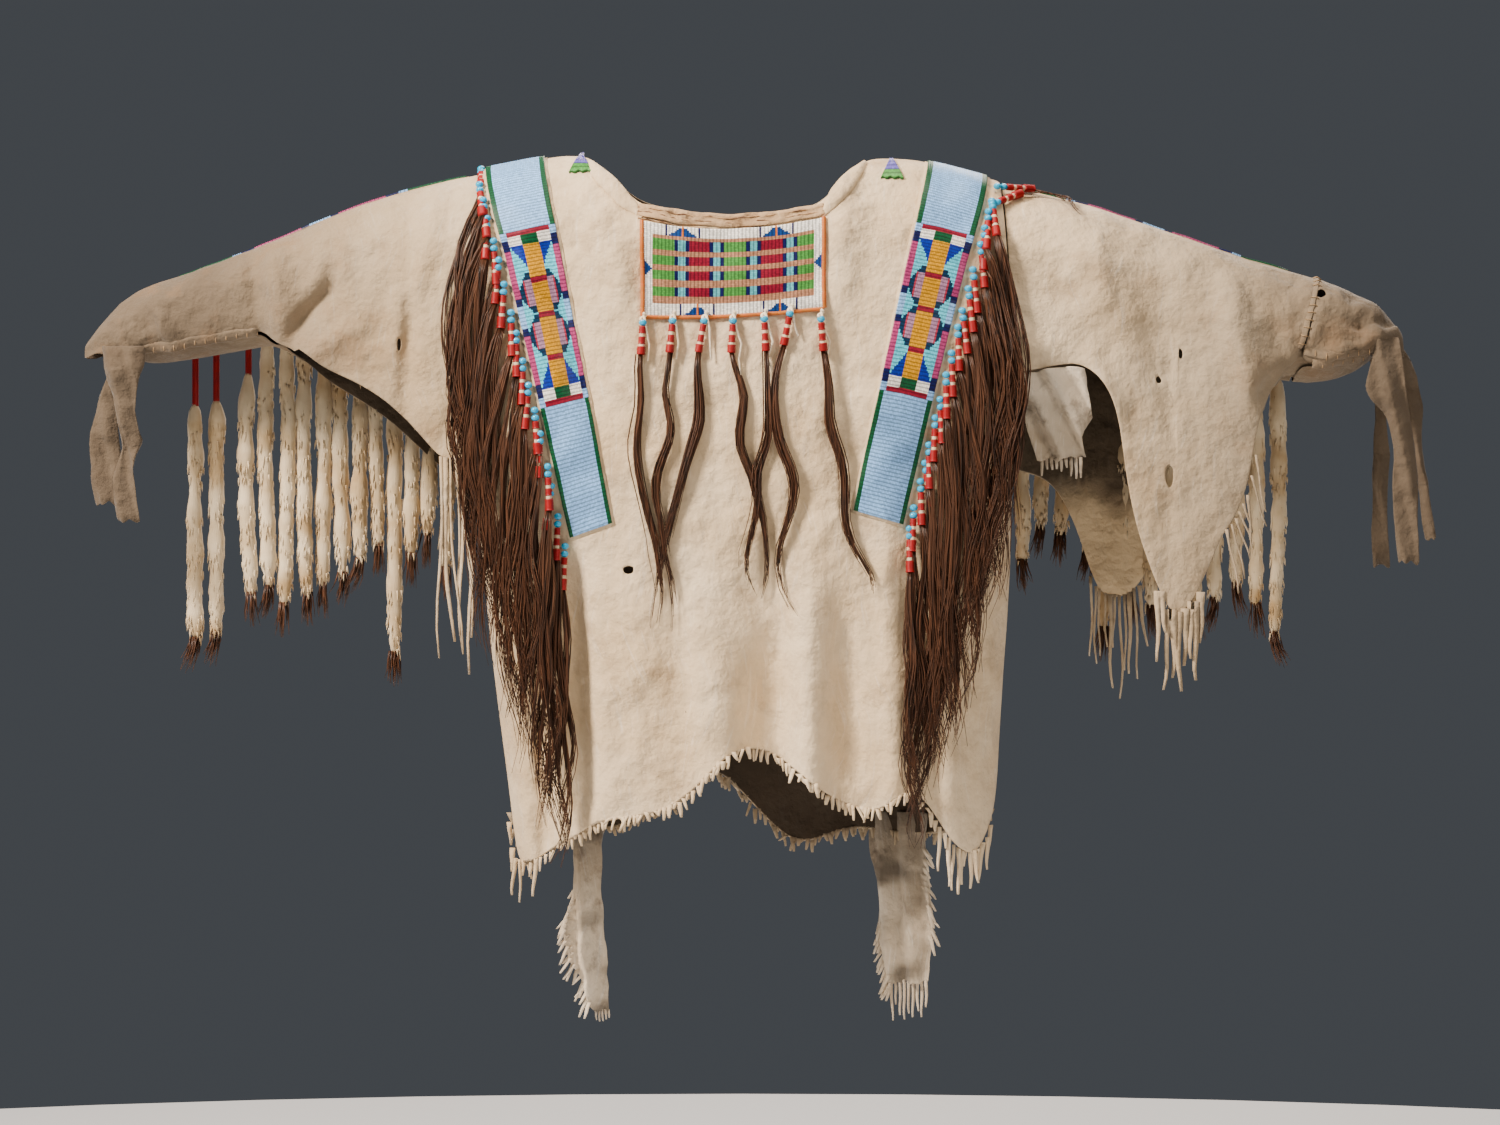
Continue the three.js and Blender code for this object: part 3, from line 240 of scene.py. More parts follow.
# Buckskin looks soft and dry: a suede nap with a weak sheen, cream where it is clean, tan where it is worn,
# with pale scrapes from the fleshing tool. The grey-brown towards the sleeves' ends is partly the sleeves'
# own darker tone and partly painted shade.
def buckskin(name, clean, worn, stained, scraped, spot_scale=17.0, spot_most=0.6):
    material, shader, place = new_material(name, {"Roughness": 0.9, "Sheen Weight": 0.18,
                                                  "Sheen Roughness": 0.45, "Specular IOR Level": 0.2})

    def shifted(cloud_colour, reach):
        return add_node(material, "VectorMath", {"operation": "MULTIPLY_ADD"},
                        {0: cloud_colour, 1: reach, 2: place}).outputs[0]

    broad = cloud(material, place, 5.0, 5.0, 0.6).outputs["Fac"]
    colour = ramp(material, broad, (0.36, clean), (0.72, worn))
    waver = shifted(cloud(material, place, 6.0, 1.0).outputs["Color"], (0.12, 0.0, 0.12))
    slant = add_node(material, "Mapping", None, {"Vector": waver, "Rotation": (0, math.radians(-28), 0),
                                                 "Scale": (300.0, 60.0, 20.0)})
    scrapes = cloud(material, slant.outputs[0], 1.0, 3.0, 0.6).outputs["Fac"]
    colour = laid_over(material, ranged(material, scrapes, 0.57, 0.78, 0.0, 0.5), colour, tint(scraped))
    # Painted shade, with some of the sleeves' own darker tone: grey-brown grows towards the sleeves' ends, centred 6
    # cm to the left so the right sleeve darkens more
    across = add_node(material, "SeparateXYZ", None, {"Vector": place}).outputs["X"]
    arm_tone_and_shade = sum_up(material, "ABSOLUTE", sum_up(material, "SUBTRACT", across, 0.06))
    colour = laid_over(material, ranged(material, arm_tone_and_shade, 0.24, 0.66, 0.0, 0.96), colour, tint("#5E5142"))
    spots = cloud(material, place, spot_scale, 7.0, 0.68).outputs["Fac"]
    colour = laid_over(material, ranged(material, spots, 0.52, 0.78, 0.0, spot_most), colour, tint(stained))
    # The second attribute lays dark brown painted shade on inner faces, the turned flap's top, the legs' tops and
    # the back hem strips; on the legs it also holds stains
    for attribute, over in (("haired", "#EBCFA2"), ("painted_shade_and_soil", "#261B13")):
        share = add_node(material, "Attribute", {"attribute_name": attribute}).outputs["Fac"]
        colour = laid_over(material, share, colour, tint(over))
    feed(shader, "Base Color", colour)
    wrinkles = cloud(material, place, 26.0, 7.0, 0.52)
    cells = add_node(material, "TexVoronoi", {"feature": "DISTANCE_TO_EDGE"},
                     {"Vector": shifted(wrinkles.outputs["Color"], (0.05, 0.05, 0.05)), "Scale": 24.0})
    creased = sum_up(material, "MULTIPLY", ranged(material, cells.outputs["Distance"], 0.0, 0.22),
                     ranged(material, broad, 0.42, 0.62, 0.15, 1.0))
    relief = bump(material, creased, 0.3, 0.0026)
    relief = bump(material, wrinkles.outputs["Fac"], 1.0, 0.012, relief)
    nap = cloud(material, place, 900.0, 3.0, 0.7).outputs["Fac"]
    feed(shader, "Normal", bump(material, nap, 0.45, 0.0006, relief))
    return material


CUT_ANGLE = math.radians(55)
SOFT_LEVELS = 2
hide = buckskin("brain-tanned buckskin", "#E9D3B0", "#C9AA80", "#866748", "#F3E7D2")


def soft_copy(node, name, material, firm=0):
    """A rounded copy of one of the frame's pieces, its doubled points merged and its cut edges kept firm."""
    bm = bmesh.new()
    bm.from_mesh(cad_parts[node].data)
    bmesh.ops.remove_doubles(bm, verts=bm.verts, dist=1e-5)
    bmesh.ops.join_triangles(bm, faces=bm.faces, angle_face_threshold=math.radians(50),
                             angle_shape_threshold=math.radians(70))
    if firm:
        kept = bm.edges.layers.float.new("crease_edge")
        for edge in bm.edges:
            if len(edge.link_faces) == 2 and edge.calc_face_angle() > CUT_ANGLE:
                edge[kept] = firm
    rough = piece_of(bm, name + "_rough", material)
    rounded(rough, SOFT_LEVELS)
    return link(name, settled(rough, name), material)


def paint_points(piece, attribute, values):
    piece.data.attributes.new(attribute, "FLOAT", "POINT").data.foreach_set("value", values)


def attach(piece, slot, *nodes):
    """The piece goes with the shirt and stands for these frame pieces, which are hidden; the slot is not used."""
    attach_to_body(piece, "root")
    if nodes:
        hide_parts(*nodes)
    return piece


# The line of the fold over the shoulders and arms, right to left: x and height in millimetres
RIDGE = [(-753, -218), (-606, -120), (-514, -83), (-445, -52), (-353, -24), (-286, -9), (-220, 3),
         (-163, 8), (156, 3), (187, 3), (233, -5), (291, -20), (406, -48), (486, -74), (567, -102),
         (647, -132), (739, -168), (776, -230)]


def crest(x):
    """The height of the fold over the shoulder or arm at a distance from the neck."""
    x = min(RIDGE[-1][0], max(RIDGE[0][0], x / MM))
    for (x0, z0), (x1, z1) in zip(RIDGE, RIDGE[1:]):
        if x <= x1:
            return MM * (z0 + (z1 - z0) * (x - x0) / (x1 - x0))


def rounding_at(x):
    """How sharply the hide turns over the top there: wide on the shoulder, tight at the wrist."""
    return mix(SHOULDER_ROUND, WRIST_ROUND, clamp((abs(x) - SIDE_SEAM) / (WRIST_FROM - SIDE_SEAM)))


# Creases of the hides seen from the front, in millimetres: x and height of both ends, half width of the
# left and of the right side, looking from the first end to the second, and rise of the hide
CREASES = {
    "right_sleeve_hide": [
        (-552, -118, -542, -190, 12, 12, -7), (-532, -120, -514, -226, 20, 20, 8),
        (-507, -200, -455, -140, 11, 11, -8), (-494, -232, -430, -190, 16, 16, 5),
        (-345, -60, -384, -210, 14, 14, 6), (-372, -120, -376, -300, 9, 9, -5),
        (-470, -90, -478, -150, 9, 9, 2.5), (-448, -95, -452, -150, 8, 8, 2.5),
        (-690, -165, -660, -210, 7, 7, -4), (-668, -155, -646, -215, 8, 8, 3),
        (-712, -190, -690, -232, 7, 7, 3.5), (-725, -180, -705, -225, 6, 6, -4),],
    "left_sleeve_hide": [
        (308, -205, 345, -232, 18, 18, 8), (330, -120, 420, -215, 26, 26, -4),
        (398, -232, 440, -300, 14, 14, 6), (470, -150, 520, -330, 26, 26, -5),
        (560, -150, 590, -290, 18, 18, 6), (575, -245, 608, -232, 14, 14, 6), (610, -190, 628, -245, 9, 9, -4),
        (520, -330, 560, -410, 14, 14, 5),],
    "left_forearm_hide": [
        (660, -232, 740, -205, 7, 7, 4), (700, -190, 752, -186, 8, 8, -5), (715, -168, 742, -215, 8, 8, 4),],
    "front_hide": [
        (-165, -30, -118, -200, 20, 20, 4), (-215, -110, -150, -330, 22, 22, -5),
        (128, -20, 112, -190, 20, 20, 4), (112, -190, 135, -380, 22, 22, -5), (44, -470, 55, -790, 36, 14, -12),
        (84, -430, 78, -780, 12, 28, 5), (122, -500, 128, -700, 20, 12, -4), (168, -430, 178, -720, 16, 12, 5),
        (-66, -500, -58, -720, 30, 14, -5), (-118, -500, -100, -740, 30, 30, 4),
        (-182, -470, -170, -730, 12, 12, -8), (-205, -540, -200, -800, 10, 10, 6),
        (-224, -540, -220, -800, 10, 10, -6), (215, -520, 222, -800, 14, 14, -7),
        (242, -520, 248, -800, 14, 14, 5), (-150, -655, -95, -625, 10, 20, -4),
        (-70, -470, -40, -480, 8, 8, -3), (10, -520, 48, -530, 8, 8, 4), (-145, -560, -120, -600, 9, 9, 3),],
    "back_hide": [
        (-120, -80, -60, -420, 30, 30, -4), (100, -90, 70, -430, 30, 30, -4), (0, -300, 10, -650, 34, 34, 5),
        (-180, -430, -160, -700, 22, 22, -5), (190, -430, 170, -700, 22, 22, 5),],
}
# Places where the front hide is puckered from its drying: x, height, reach and swell in millimetres
PUCKERED = [(28, -480, 36, 8), (142, -575, 40, 8), (124, -662, 34, 9), (146, -700, 26, 8),
            (-105, -655, 50, 8), (-135, -560, 40, 6), (98, -455, 30, 8), (-150, -60, 34, 4), (150, -60, 34, 4)]
PUCKER_FINE = 34
CREASE_DEPTH = 2.0
BROAD_SWELL = 0.0036
SMALL_SWELL = 0.0030
WRIST_SWELL = 0.0070
WRIST_CRUMPLE = (0.60, 0.70)
EDGE_CALM = 0.02
HAIR_SIDE_BELOW = -0.25
# How deep the painted shade on the hides' inner faces may go
INNER_SHADE_MOST = {"body_back": 0.95}
USUAL_INNER_SHADE = 0.85
ARM_SHADE = (-0.41, -0.36)


def crease_rise(crease, x, z):
    """How far one crease lifts the hide at a place, in metres."""
    x0, z0, x1, z1, left, right, rise = crease
    start = Vector((x0, z0)) * MM
    way = Vector((x1, z1)) * MM - start
    spot = Vector((x, z)) - start
    share = clamp(spot.dot(way) / way.length_squared)
    wide = right if way.x * spot.y > way.y * spot.x else left
    aside = (spot - way * share).length / (wide * MM)
    return rise * MM * math.exp(-aside * aside) * math.sin(math.pi * (0.15 + 0.7 * share))


def outward(place):
    """Away from the middle line of the body or arm."""
    top = crest(place.x)
    middle = top - rounding_at(place.x)
    up = place.z - middle
    if abs(place.x) < 0.5:
        up = max(0, up)
    way = Vector((0, place.y, up))
    return way.normalized() if way.length > 1e-6 else Vector((0, 0, 1))


# The left sleeve's front flap runs down into a narrow tongue, in millimetres
TONGUE = {"x": 500, "half": 36, "from": -355, "blend": 75, "drop": 62}


def tongue_drop(x, z):
    """How far the tongue draws the flap down at a place."""
    share = clamp((TONGUE["from"] * MM - z) / (TONGUE["blend"] * MM))
    off = (x - TONGUE["x"] * MM) / (TONGUE["half"] * MM)
    return TONGUE["drop"] * MM * math.exp(-off * off) * share * share * (3 - 2 * share)


# The back hem rises and falls by itself below the front one: x, half width and drop in millimetres
BACK_HEM = [(-34, 30, -24), (72, 44, 26)]
BACK_HEM_FROM = -0.62
BACK_HEM_BLEND = 0.13


def back_hem_drop(x, z):
    """How far the back hide's hem hangs lower there."""
    share = clamp((BACK_HEM_FROM - z) / BACK_HEM_BLEND)
    return share * sum(drop * MM * math.exp(-((x / MM - middle) / half) ** 2) for middle, half, drop in BACK_HEM)


hides = {}
for node, (name, wide, long, area) in HIDES.items():
    piece = soft_copy(node, name, hide)
    mesh = piece.data
    for vertex in mesh.vertices:
        place = vertex.co
        side = -1 if place.y < 0 else 1
        rise = 0
        if side < 0 or node == "body_back":
            rise = sum(crease_rise(crease, place.x, place.z) for crease in CREASES[name])
        spot = Vector((place.x, side * 0.4, place.z))
        rise = rise * CREASE_DEPTH + BROAD_SWELL * noise.noise(spot * 11) + SMALL_SWELL * noise.noise(spot * 32)
        if node == "body_front":
            for x, z, reach, swell in PUCKERED:
                off = (Vector((x, z)) * MM - Vector((place.x, place.z))).length / (reach * MM)
                ridges = noise.turbulence(spot * PUCKER_FINE, 3, True) - 0.6
                rise += swell * MM * math.exp(-off * off) * ridges
        low, high = WRIST_CRUMPLE
        wrist = clamp((abs(place.x) - low) / (high - low))
        rise += WRIST_SWELL * wrist * (noise.noise(spot * 48) + 0.5 * noise.noise(spot * 95))
        vertex.co = place + outward(place) * rise * min(1, abs(place.y) / EDGE_CALM)
        if node == "sleeve_left" and side < 0:
            vertex.co.z -= tongue_drop(place.x, place.z)
        if node == "body_back":
            vertex.co.z -= back_hem_drop(place.x, place.z)
    mesh.update()
    # Inner faces get painted shade as their normal turns inwards; the left sleeve's turned flap gets painted shade
    # above and its hair-side colour below
    deepest = INNER_SHADE_MOST.get(node, USUAL_INNER_SHADE)
    painted_shade_and_soil = []
    haired = []
    for vertex in mesh.vertices:
        under = min(deepest, max(0, -2 * vertex.normal.dot(outward(vertex.co))))
        turned = node == "sleeve_left" and vertex.co.z < HAIR_SIDE_BELOW
        above = vertex.co.z - ARM_SHADE[0] + 0.03 * noise.noise(vertex.co * 30)
        shaded = clamp(above / (ARM_SHADE[1] - ARM_SHADE[0]))
        painted_shade_and_soil.append(shaded * under if turned else under)
        haired.append(0.8 * (1 - shaded) * under if turned else 0)
    paint_points(piece, "painted_shade_and_soil", painted_shade_and_soil)
    paint_points(piece, "haired", haired)
    hides[node] = attach(piece, "hide", node)

shirt_points = []
shirt_faces = []
for piece in hides.values():
    first = len(shirt_points)
    shirt_points += [vertex.co.copy() for vertex in piece.data.vertices]
    shirt_faces += [[first + v for v in polygon.vertices] for polygon in piece.data.polygons]
shirt = BVHTree.FromPolygons(shirt_points, shirt_faces)

BACK_SLIP = 0.001
RAY_FROM = 0.3


def on_hide(x, z, face):
    """The outer face of the hide at a place seen from the front (face -1) or back (1), and its normal."""
    top = crest(x)
    turned = rounding_at(x)
    turn = math.acos(clamp(1 - (top - z) / turned))
    middle = Vector((x, face * BACK_SLIP, top - turned if turn < math.pi / 2 else z))
    out = Vector((0, face * math.sin(turn), math.cos(turn)))
    hit, normal, _, _ = shirt.ray_cast(middle + out * RAY_FROM, -out)
    if hit is None or (hit - middle).dot(out) < 0:
        return None, out
    return hit, normal if normal.dot(out) > 0 else -normal


def round_shoulder(x, way, face):
    """The place that lies a length of hide below the crest."""
    turned = rounding_at(x)
    arc = turned * math.pi / 2
    drop = turned * (1 - math.cos(min(way, arc) / turned)) + max(0, way - arc)
    return on_hide(x, crest(x) - drop, face)


# The lapped seams of the forearms
# The hide's edges overlap under each forearm and where the left forearm's end is pieced on. The upper
# edge is loose between its sinew stitches, so it waves and stands a little off.
FOREARMS = {"right": (-0.728, -0.548), "left": (0.640, 0.752)}
ARM_STEP = 0.006
GAP_SCAN = range(96, 166)
LAP = [(-0.009, -0.0012), (-0.006, 0.0008), (-0.002, 0.0016), (0.0015, 0.0022), (0.0030, 0.0016), (0.0028, -0.0006)]
STITCH_EVERY = 0.0085
LOOSE_WAVE = 0.0014
LOOSE_LIFT = 0.0012
KNIFE_JAG = 0.0012
WIDEST_GAP = 0.02
ARM_DEPTHS = (0.05, 0.16)
USUAL_ARM_DEPTH = 0.105
NEAREST_WALL = 0.008
PIECED = {"middle": 0.6506, "slant": 0.016, "from": -70, "to": 136, "sunk": 0.0004}
FRONT_LAP = {"from": 0.648, "to": 0.742, "degrees": 120, "steps": 15, "sunk": 0.0004}


def arm_middle(x):
    """The middle of a closed forearm."""
    bottom = shirt.ray_cast(Vector((x, -0.004, -0.6)), Vector((0, 0, 1)))[0]
    least, most = ARM_DEPTHS
    low = bottom.z if bottom and least < crest(x) - bottom.z < most else crest(x) - USUAL_ARM_DEPTH
    return Vector((x, 0, (crest(x) + low) / 2))


def on_arm(x, degrees):
    """The outer face of a forearm at an angle from its crest towards the front."""
    turn = math.radians(degrees)
    out = Vector((0, -math.sin(turn), math.cos(turn)))
    middle = arm_middle(x)
    hit = shirt.ray_cast(middle + out * RAY_FROM, -out)[0]
    if hit is None or (hit - middle).dot(out) < NEAREST_WALL:
        return None, out
    return hit, out


def edge_strip(name, frames, profile, offset, skin, thick):
    """A strip along frames, each a place, the way across it and the way off the hide. Offset says where each
    point of the profile goes."""
    bm = grid(len(profile) - 1, len(frames) - 1)
    for vertex in bm.verts:
        point = profile[round((vertex.co.x + 0.5) * (len(profile) - 1))]
        row = round((vertex.co.y + 0.5) * (len(frames) - 1))
        place, side, out = frames[row]
        across, off = offset(*point, row, place)
        vertex.co = place + side * across + out * off
    bmesh.ops.recalc_face_normals(bm, faces=bm.faces[:])
    piece = piece_of(bm, name, skin)
    walled(piece, thick)
    return attach(piece, "hide")


def lap(name, frames, wave, share):
    """A lapped edge, loose on one side, and the paths of the stitches across it."""

    def waved(across, off, row, place):
        loose = 0.5 + 0.5 * math.sin(row * wave) if across > 0 else 0
        jag = KNIFE_JAG * noise.noise(place * 160)
        return (across + loose * LOOSE_WAVE) * share + jag, (off + loose * LOOSE_LIFT) * share

    edge_strip(name, frames, LAP, waved, hide, 0.0008)
    stitches = []
    since = 0
    for (start, _, _), (place, side, out) in zip(frames, frames[1:]):
        since += (place - start).length
        if since > STITCH_EVERY:
            since = 0
            stitches.append([(place - side * 0.0045 + out * 0.0012, 0.0005), (place + out * 0.0034, 0.0006),
                             (place + side * 0.0050 + out * 0.0006, 0.0005)])
    return stitches


def mottled(name, values, stops, scale, detail=2.0, stretch=(1, 1, 1)):
    """A material that turns from one colour to another in spots or streaks."""
    material, shader, place = new_material(name, values)
    drawn_out = add_node(material, "Mapping", None, {"Vector": place, "Scale": stretch}).outputs[0]
    feed(shader, "Base Color", ramp(material, cloud(material, drawn_out, scale, detail).outputs["Fac"], *stops))
    return material, shader, place


# Sinew is a dull yellowish thread, darkened with handling
sinew, _, _ = mottled("sinew thread", {"Roughness": 0.6}, [(0.0, "#6B5238"), (1.0, "#C0A075")], 300.0)


def seam(pairs, sunk=0, widest=1.0):
    """The frames of a seam between pairs of places on a forearm, each an x and an angle."""
    frames = []
    for first_place, second_place in pairs:
        first, out = on_arm(*first_place)
        second, _ = on_arm(*second_place)
        if first is not None and second is not None and (second - first).length <= widest:
            frames.append((first.lerp(second, 0.5) - out * sunk, (second - first).normalized(), out))
    return frames


# Each seam's frames, the pace of its waves and its share of the lap's size
seams = {}
for side, (near, far) in FOREARMS.items():
    pairs = []
    steps = round(abs(far - near) / ARM_STEP)
    for step in range(steps + 1):
        x = mix(near, far, step / steps)
        missing = [degrees for degrees in GAP_SCAN if on_arm(x, degrees)[0] is None]
        if missing:
            pairs.append(((x, missing[0] - 2), (x, missing[-1] + 2)))
    seams[f"forearm_seam_{side}"] = (seam(pairs, 0, WIDEST_GAP), 1.1, 1)
pairs = []
for degrees in range(PIECED["from"], PIECED["to"], 5):
    x = PIECED["middle"] + PIECED["slant"] * math.cos(math.radians(degrees))
    pairs.append(((x - 0.0045, degrees), (x + 0.0045, degrees)))
seams["pieced_seam_left"] = (seam(pairs, PIECED["sunk"]), 0.5, 0.55)
pairs = []
for step in range(FRONT_LAP["steps"] + 1):
    x = mix(FRONT_LAP["from"], FRONT_LAP["to"], step / FRONT_LAP["steps"])
    pairs.append(((x, FRONT_LAP["degrees"] - 5), (x, FRONT_LAP["degrees"] + 5)))
seams["front_seam_left"] = (seam(pairs, FRONT_LAP["sunk"]), 0.9, 0.8)

# A puckered scrap closes the corner where the left forearm's two seams meet
PUCKER = {"x": 0.634, "degrees": 152, "half": 0.036, "round": 0.052}
bm = grid(10, 10)
for vertex in bm.verts:
    x = PUCKER["x"] + vertex.co.x * 2 * PUCKER["half"]
    degrees = PUCKER["degrees"] + math.degrees(vertex.co.y * 2 * PUCKER["half"] / PUCKER["round"])
    near = [on_arm(x, degrees + off)[0] for off in (-26, -14, 14)]
    reach = [(hit - arm_middle(x)).length for hit in near if hit is not None]
    turn = math.radians(degrees)
    out = Vector((0, -math.sin(turn), math.cos(turn)))
    pleat = 0.0016 * math.sin(vertex.co.y * 30) - 0.0036
    vertex.co = arm_middle(x) + out * ((sum(reach) / len(reach) if reach else 0.045) + pleat)
bmesh.ops.recalc_face_normals(bm, faces=bm.faces[:])
pucker = piece_of(bm, "pucker_left", hide)
walled(pucker, 0.0015, -1)
attach(pucker, "hide")


def strands(name, paths, rounds, material):
    """Round strands along lists of places and radii, joined as one mesh whose caps share its points."""
    line = bpy.data.curves.new(name, "CURVE")
    line.dimensions = "3D"
    line.bevel_depth = 1
    line.bevel_resolution = rounds
    line.use_fill_caps = True
    for path in paths:
        spline = line.splines.new("POLY")
        spline.points.add(len(path) - 1)
        for point, (place, radius) in zip(spline.points, path):
            point.co = (*place, 1)
            point.radius = radius
    drawn = bpy.data.objects.new(name + "_lines", line)
    bpy.context.scene.collection.objects.link(drawn)
    bm = bmesh.new()
    bm.from_mesh(settled(drawn, name))
    bmesh.ops.remove_doubles(bm, verts=bm.verts, dist=1e-6)
    return piece_of(bm, name, material)


stitches = []
for name, (frames, wave, share) in seams.items():
    if len(frames) > 3:
        stitches += lap(name, frames, wave, share)
attach(strands("seam_stitches", stitches, 0, sinew), "hide")

# The neck's edges
# The hide is rolled outwards into narrow lapels from each shoulder to the bib, and between them the
# front edge is turned over in a browned strip that carries the bib.
NECK_EDGE = {
    "right": [(-0.167, 0.000), (-0.160, -0.008), (-0.144, -0.022), (-0.128, -0.040),
              (-0.114, -0.056), (-0.107, -0.070)],
    "left": [(0.145, 0.001), (0.132, -0.013), (0.121, -0.027), (0.109, -0.043),
             (0.101, -0.057), (0.096, -0.068)],
}
ROLL = [(0.001, -0.0040), (-0.0035, -0.0012), (-0.0045, 0.0022), (-0.0015, 0.0052), (0.0040, 0.0066),
        (0.0095, 0.0056), (0.0140, 0.0032), (0.0150, 0.0012), (0.0142, -0.0008)]
EDGE_WOBBLE = 0.0022
NECK_FRONT = [(-0.112, -0.055), (-0.064, -0.065), (-0.007, -0.069), (0.051, -0.064), (0.099, -0.055)]
STRIP = [(0.002, -0.0050), (-0.0030, -0.0020), (-0.0034, 0.0016), (-0.0006, 0.0040), (0.0022, 0.0036),
         (0.0042, 0.0022), (0.0072, 0.0030), (0.0104, 0.0032), (0.0128, 0.0020)]
soiled_hide = buckskin("soiled neck hide", "#CDAE88", "#A88560", "#54371F", "#E2CBA8", 46.0, 0.95)


def spread(points, steps):
    """Points at even steps along a line of places, rounded at its corners."""
    found = []
    for step in range(steps + 1):
        at = step / steps * (len(points) - 1)
        low = min(len(points) - 2, int(at))
        share = at - low
        found.append(tuple(mix(a, b, share) for a, b in zip(points[low], points[low + 1])))
    for _ in range(2):
        found = [found[0]] + [tuple((a + 2 * b + c) / 4 for a, b, c in zip(*three))
                              for three in zip(found, found[1:], found[2:])] + [found[-1]]
    return found


def rolled(name, edge, away, profile, size, skin, steps):
    """An edge rolled over along a line, away from the neck; size is its share of the profile along the line."""
    line = spread(edge, steps)
    beyond = tuple(2 * last - before for last, before in zip(line[-1], line[-2]))
    frames = []
    for (x0, z0), (x1, z1) in zip(line, line[1:] + [beyond]):
        way = Vector((z0 - z1, x1 - x0)).normalized() * away
        near, normal = on_hide(x0 + way.x * 0.004, z0 + way.y * 0.004, -1)
        far, _ = on_hide(x0 + way.x * 0.010, z0 + way.y * 0.010, -1)
        if near is not None and far is not None:
            across = (far - near).normalized()
            frames.append((near - across * 0.004, across, normal))

    def grown(across, off, row, place):
        much = size(row / (len(frames) - 1))
        wobble = EDGE_WOBBLE * noise.noise(place * 85 + Vector((0, across * 160, 0)))
        return across * much + wobble, off * much + wobble

    rounded(edge_strip(name, frames, profile, grown, skin, 0.0012), 1)


for side, edge in NECK_EDGE.items():
    rolled(f"neck_lapel_{side}", edge, -1 if side == "right" else 1, ROLL,
           lambda share: 0.15 + 0.95 * math.sin(math.pi * min(1, 0.08 + 0.95 * share)) ** 0.8, hide, 26)
rolled("neck_strip", NECK_FRONT, -1, STRIP, lambda share: 1.0, soiled_hide, 44)

# Dark brown lines lie along the strip's creases: how far down each lies and how far off the hide
CREASE_LINES = ((0.0006, 0.0040), (0.0058, 0.0030), (0.0135, 0.0012))
CREASE_LINE_WIDE = 0.0009
crease_line_brown, _, _ = mottled("dark brown crease lines", {"Roughness": 0.7}, [(0.40, "#5A3820"), (0.60, "#B8936A")], 90.0, 4.0)
lines = []
for across, off in CREASE_LINES:
    line = []
    for x, z in spread(NECK_FRONT, 60):
        spot, normal = on_hide(x, z - across - 0.002, -1)
        shake = noise.noise(spot * 110)
        line.append((spot + normal * off + Vector((0, 0, 0.0010 * shake)), CREASE_LINE_WIDE * (1 + 0.7 * shake)))
    lines.append(line)
attach(strands("neck_strip_stains", lines, 0, crease_line_brown), "hide")

# The beaded bands over the shoulders
# Strips of hide covered edge to edge with small glass seed beads, in lanes across the strip, and sewn
# down over each shoulder from the chest to the shoulder blade. Lanes are 2.1 mm apart.
LANE = 0.0021
BEAD_RISE = 0.0011
BAND_LIFT = 0.0026
RIM_DROP = -0.0005
BAND_BEADS = 34
EDGE_BEADS = 4
GOLD_HALF = 5
FIELD = 8
PLAIN_LANES = 67
PATTERN_LANES = 96
SHOULDER_BANDS = {
    "right": {"crest": (-0.288, -0.221), "front": (-0.189, -0.141, -0.434, -0.417),
              "back": (-0.202, -0.150, -0.362, -0.350)},
    "left": {"crest": (0.287, 0.219), "front": (0.188, 0.132, -0.419, -0.403),
             "back": (0.206, 0.152, -0.362, -0.350)},
}
BEAD_COLOURS = {
    "light blue": "#8EC1F8",
    "dark green": "#00522F",
    "burgundy": "#8A0F2E",
    "white": "#FBF8F0",
    "gold": "#D89A00",
    "royal blue": "#0B2CA0",
    "navy": "#0B1250",
    "teal": "#06304F",
    "turquoise": "#5AD4EE",
    "lilac": "#A97F9C",
    "red": "#B5304A",
    "rose": "#B23E77",
    "orange": "#E0761A",
    "green": "#4B9440",
    "pale turquoise": "#5FB9C4",
    "dusty pink": "#B28062",
    "blue": "#0A3D7E",
    "violet": "#6C63C0",
}
EDGE_SEQUENCE = [(5, "light blue"), (12, "navy"), (38, "rose"), (42, "navy"), (54, "light blue"),
                 (58, "navy"), (84, "rose"), (91, "navy"), (96, "light blue")]
CROSSBARS = (28, 47, 70)
HEXAGONS = ((24, 47), (47, 70))


def band_colour(lane, column, beads, plain):
    """The bead's colour: a field with one long block of steps, triangles and six-sided figures."""
    scale = BAND_BEADS / beads
    from_edge = min(column, beads - 1 - column) * scale
    beyond_gold = abs(column - (beads - 1) / 2) * scale - GOLD_HALF
    step = lane - plain
    if not 0 <= step < PATTERN_LANES:
        return "dark green" if from_edge < EDGE_BEADS - 1 else "light blue"
    if from_edge < EDGE_BEADS:
        return next(name for last, name in EDGE_SEQUENCE if step < last)
    mirrored = min(step, PATTERN_LANES - 1 - step)
    if mirrored < 3:
        return "burgundy"
    if mirrored < 9:
        return "dark green" if beyond_gold < 0 else "white"
    if beyond_gold < 0:
        return "burgundy" if any(bar <= step < bar + 3 for bar in CROSSBARS) else "gold"
    if mirrored < 22 and beyond_gold < FIELD * (1 - (mirrored - 9) / 13):
        return "royal blue"
    for first, last in HEXAGONS:
        half = (last - first) / 2
        off = abs(step - (first + half))
        if off < half and beyond_gold < min(FIELD, 2 + 7.5 * (1 - off / half)):
            if not (off < 7.5 and beyond_gold < 5.4):
                return "teal"
        if off < 7.5 and beyond_gold < 5.4:
            if off > 6.6:
                return "orange"
            return "lilac" if beyond_gold < 3.6 else "red"
    return "turquoise"
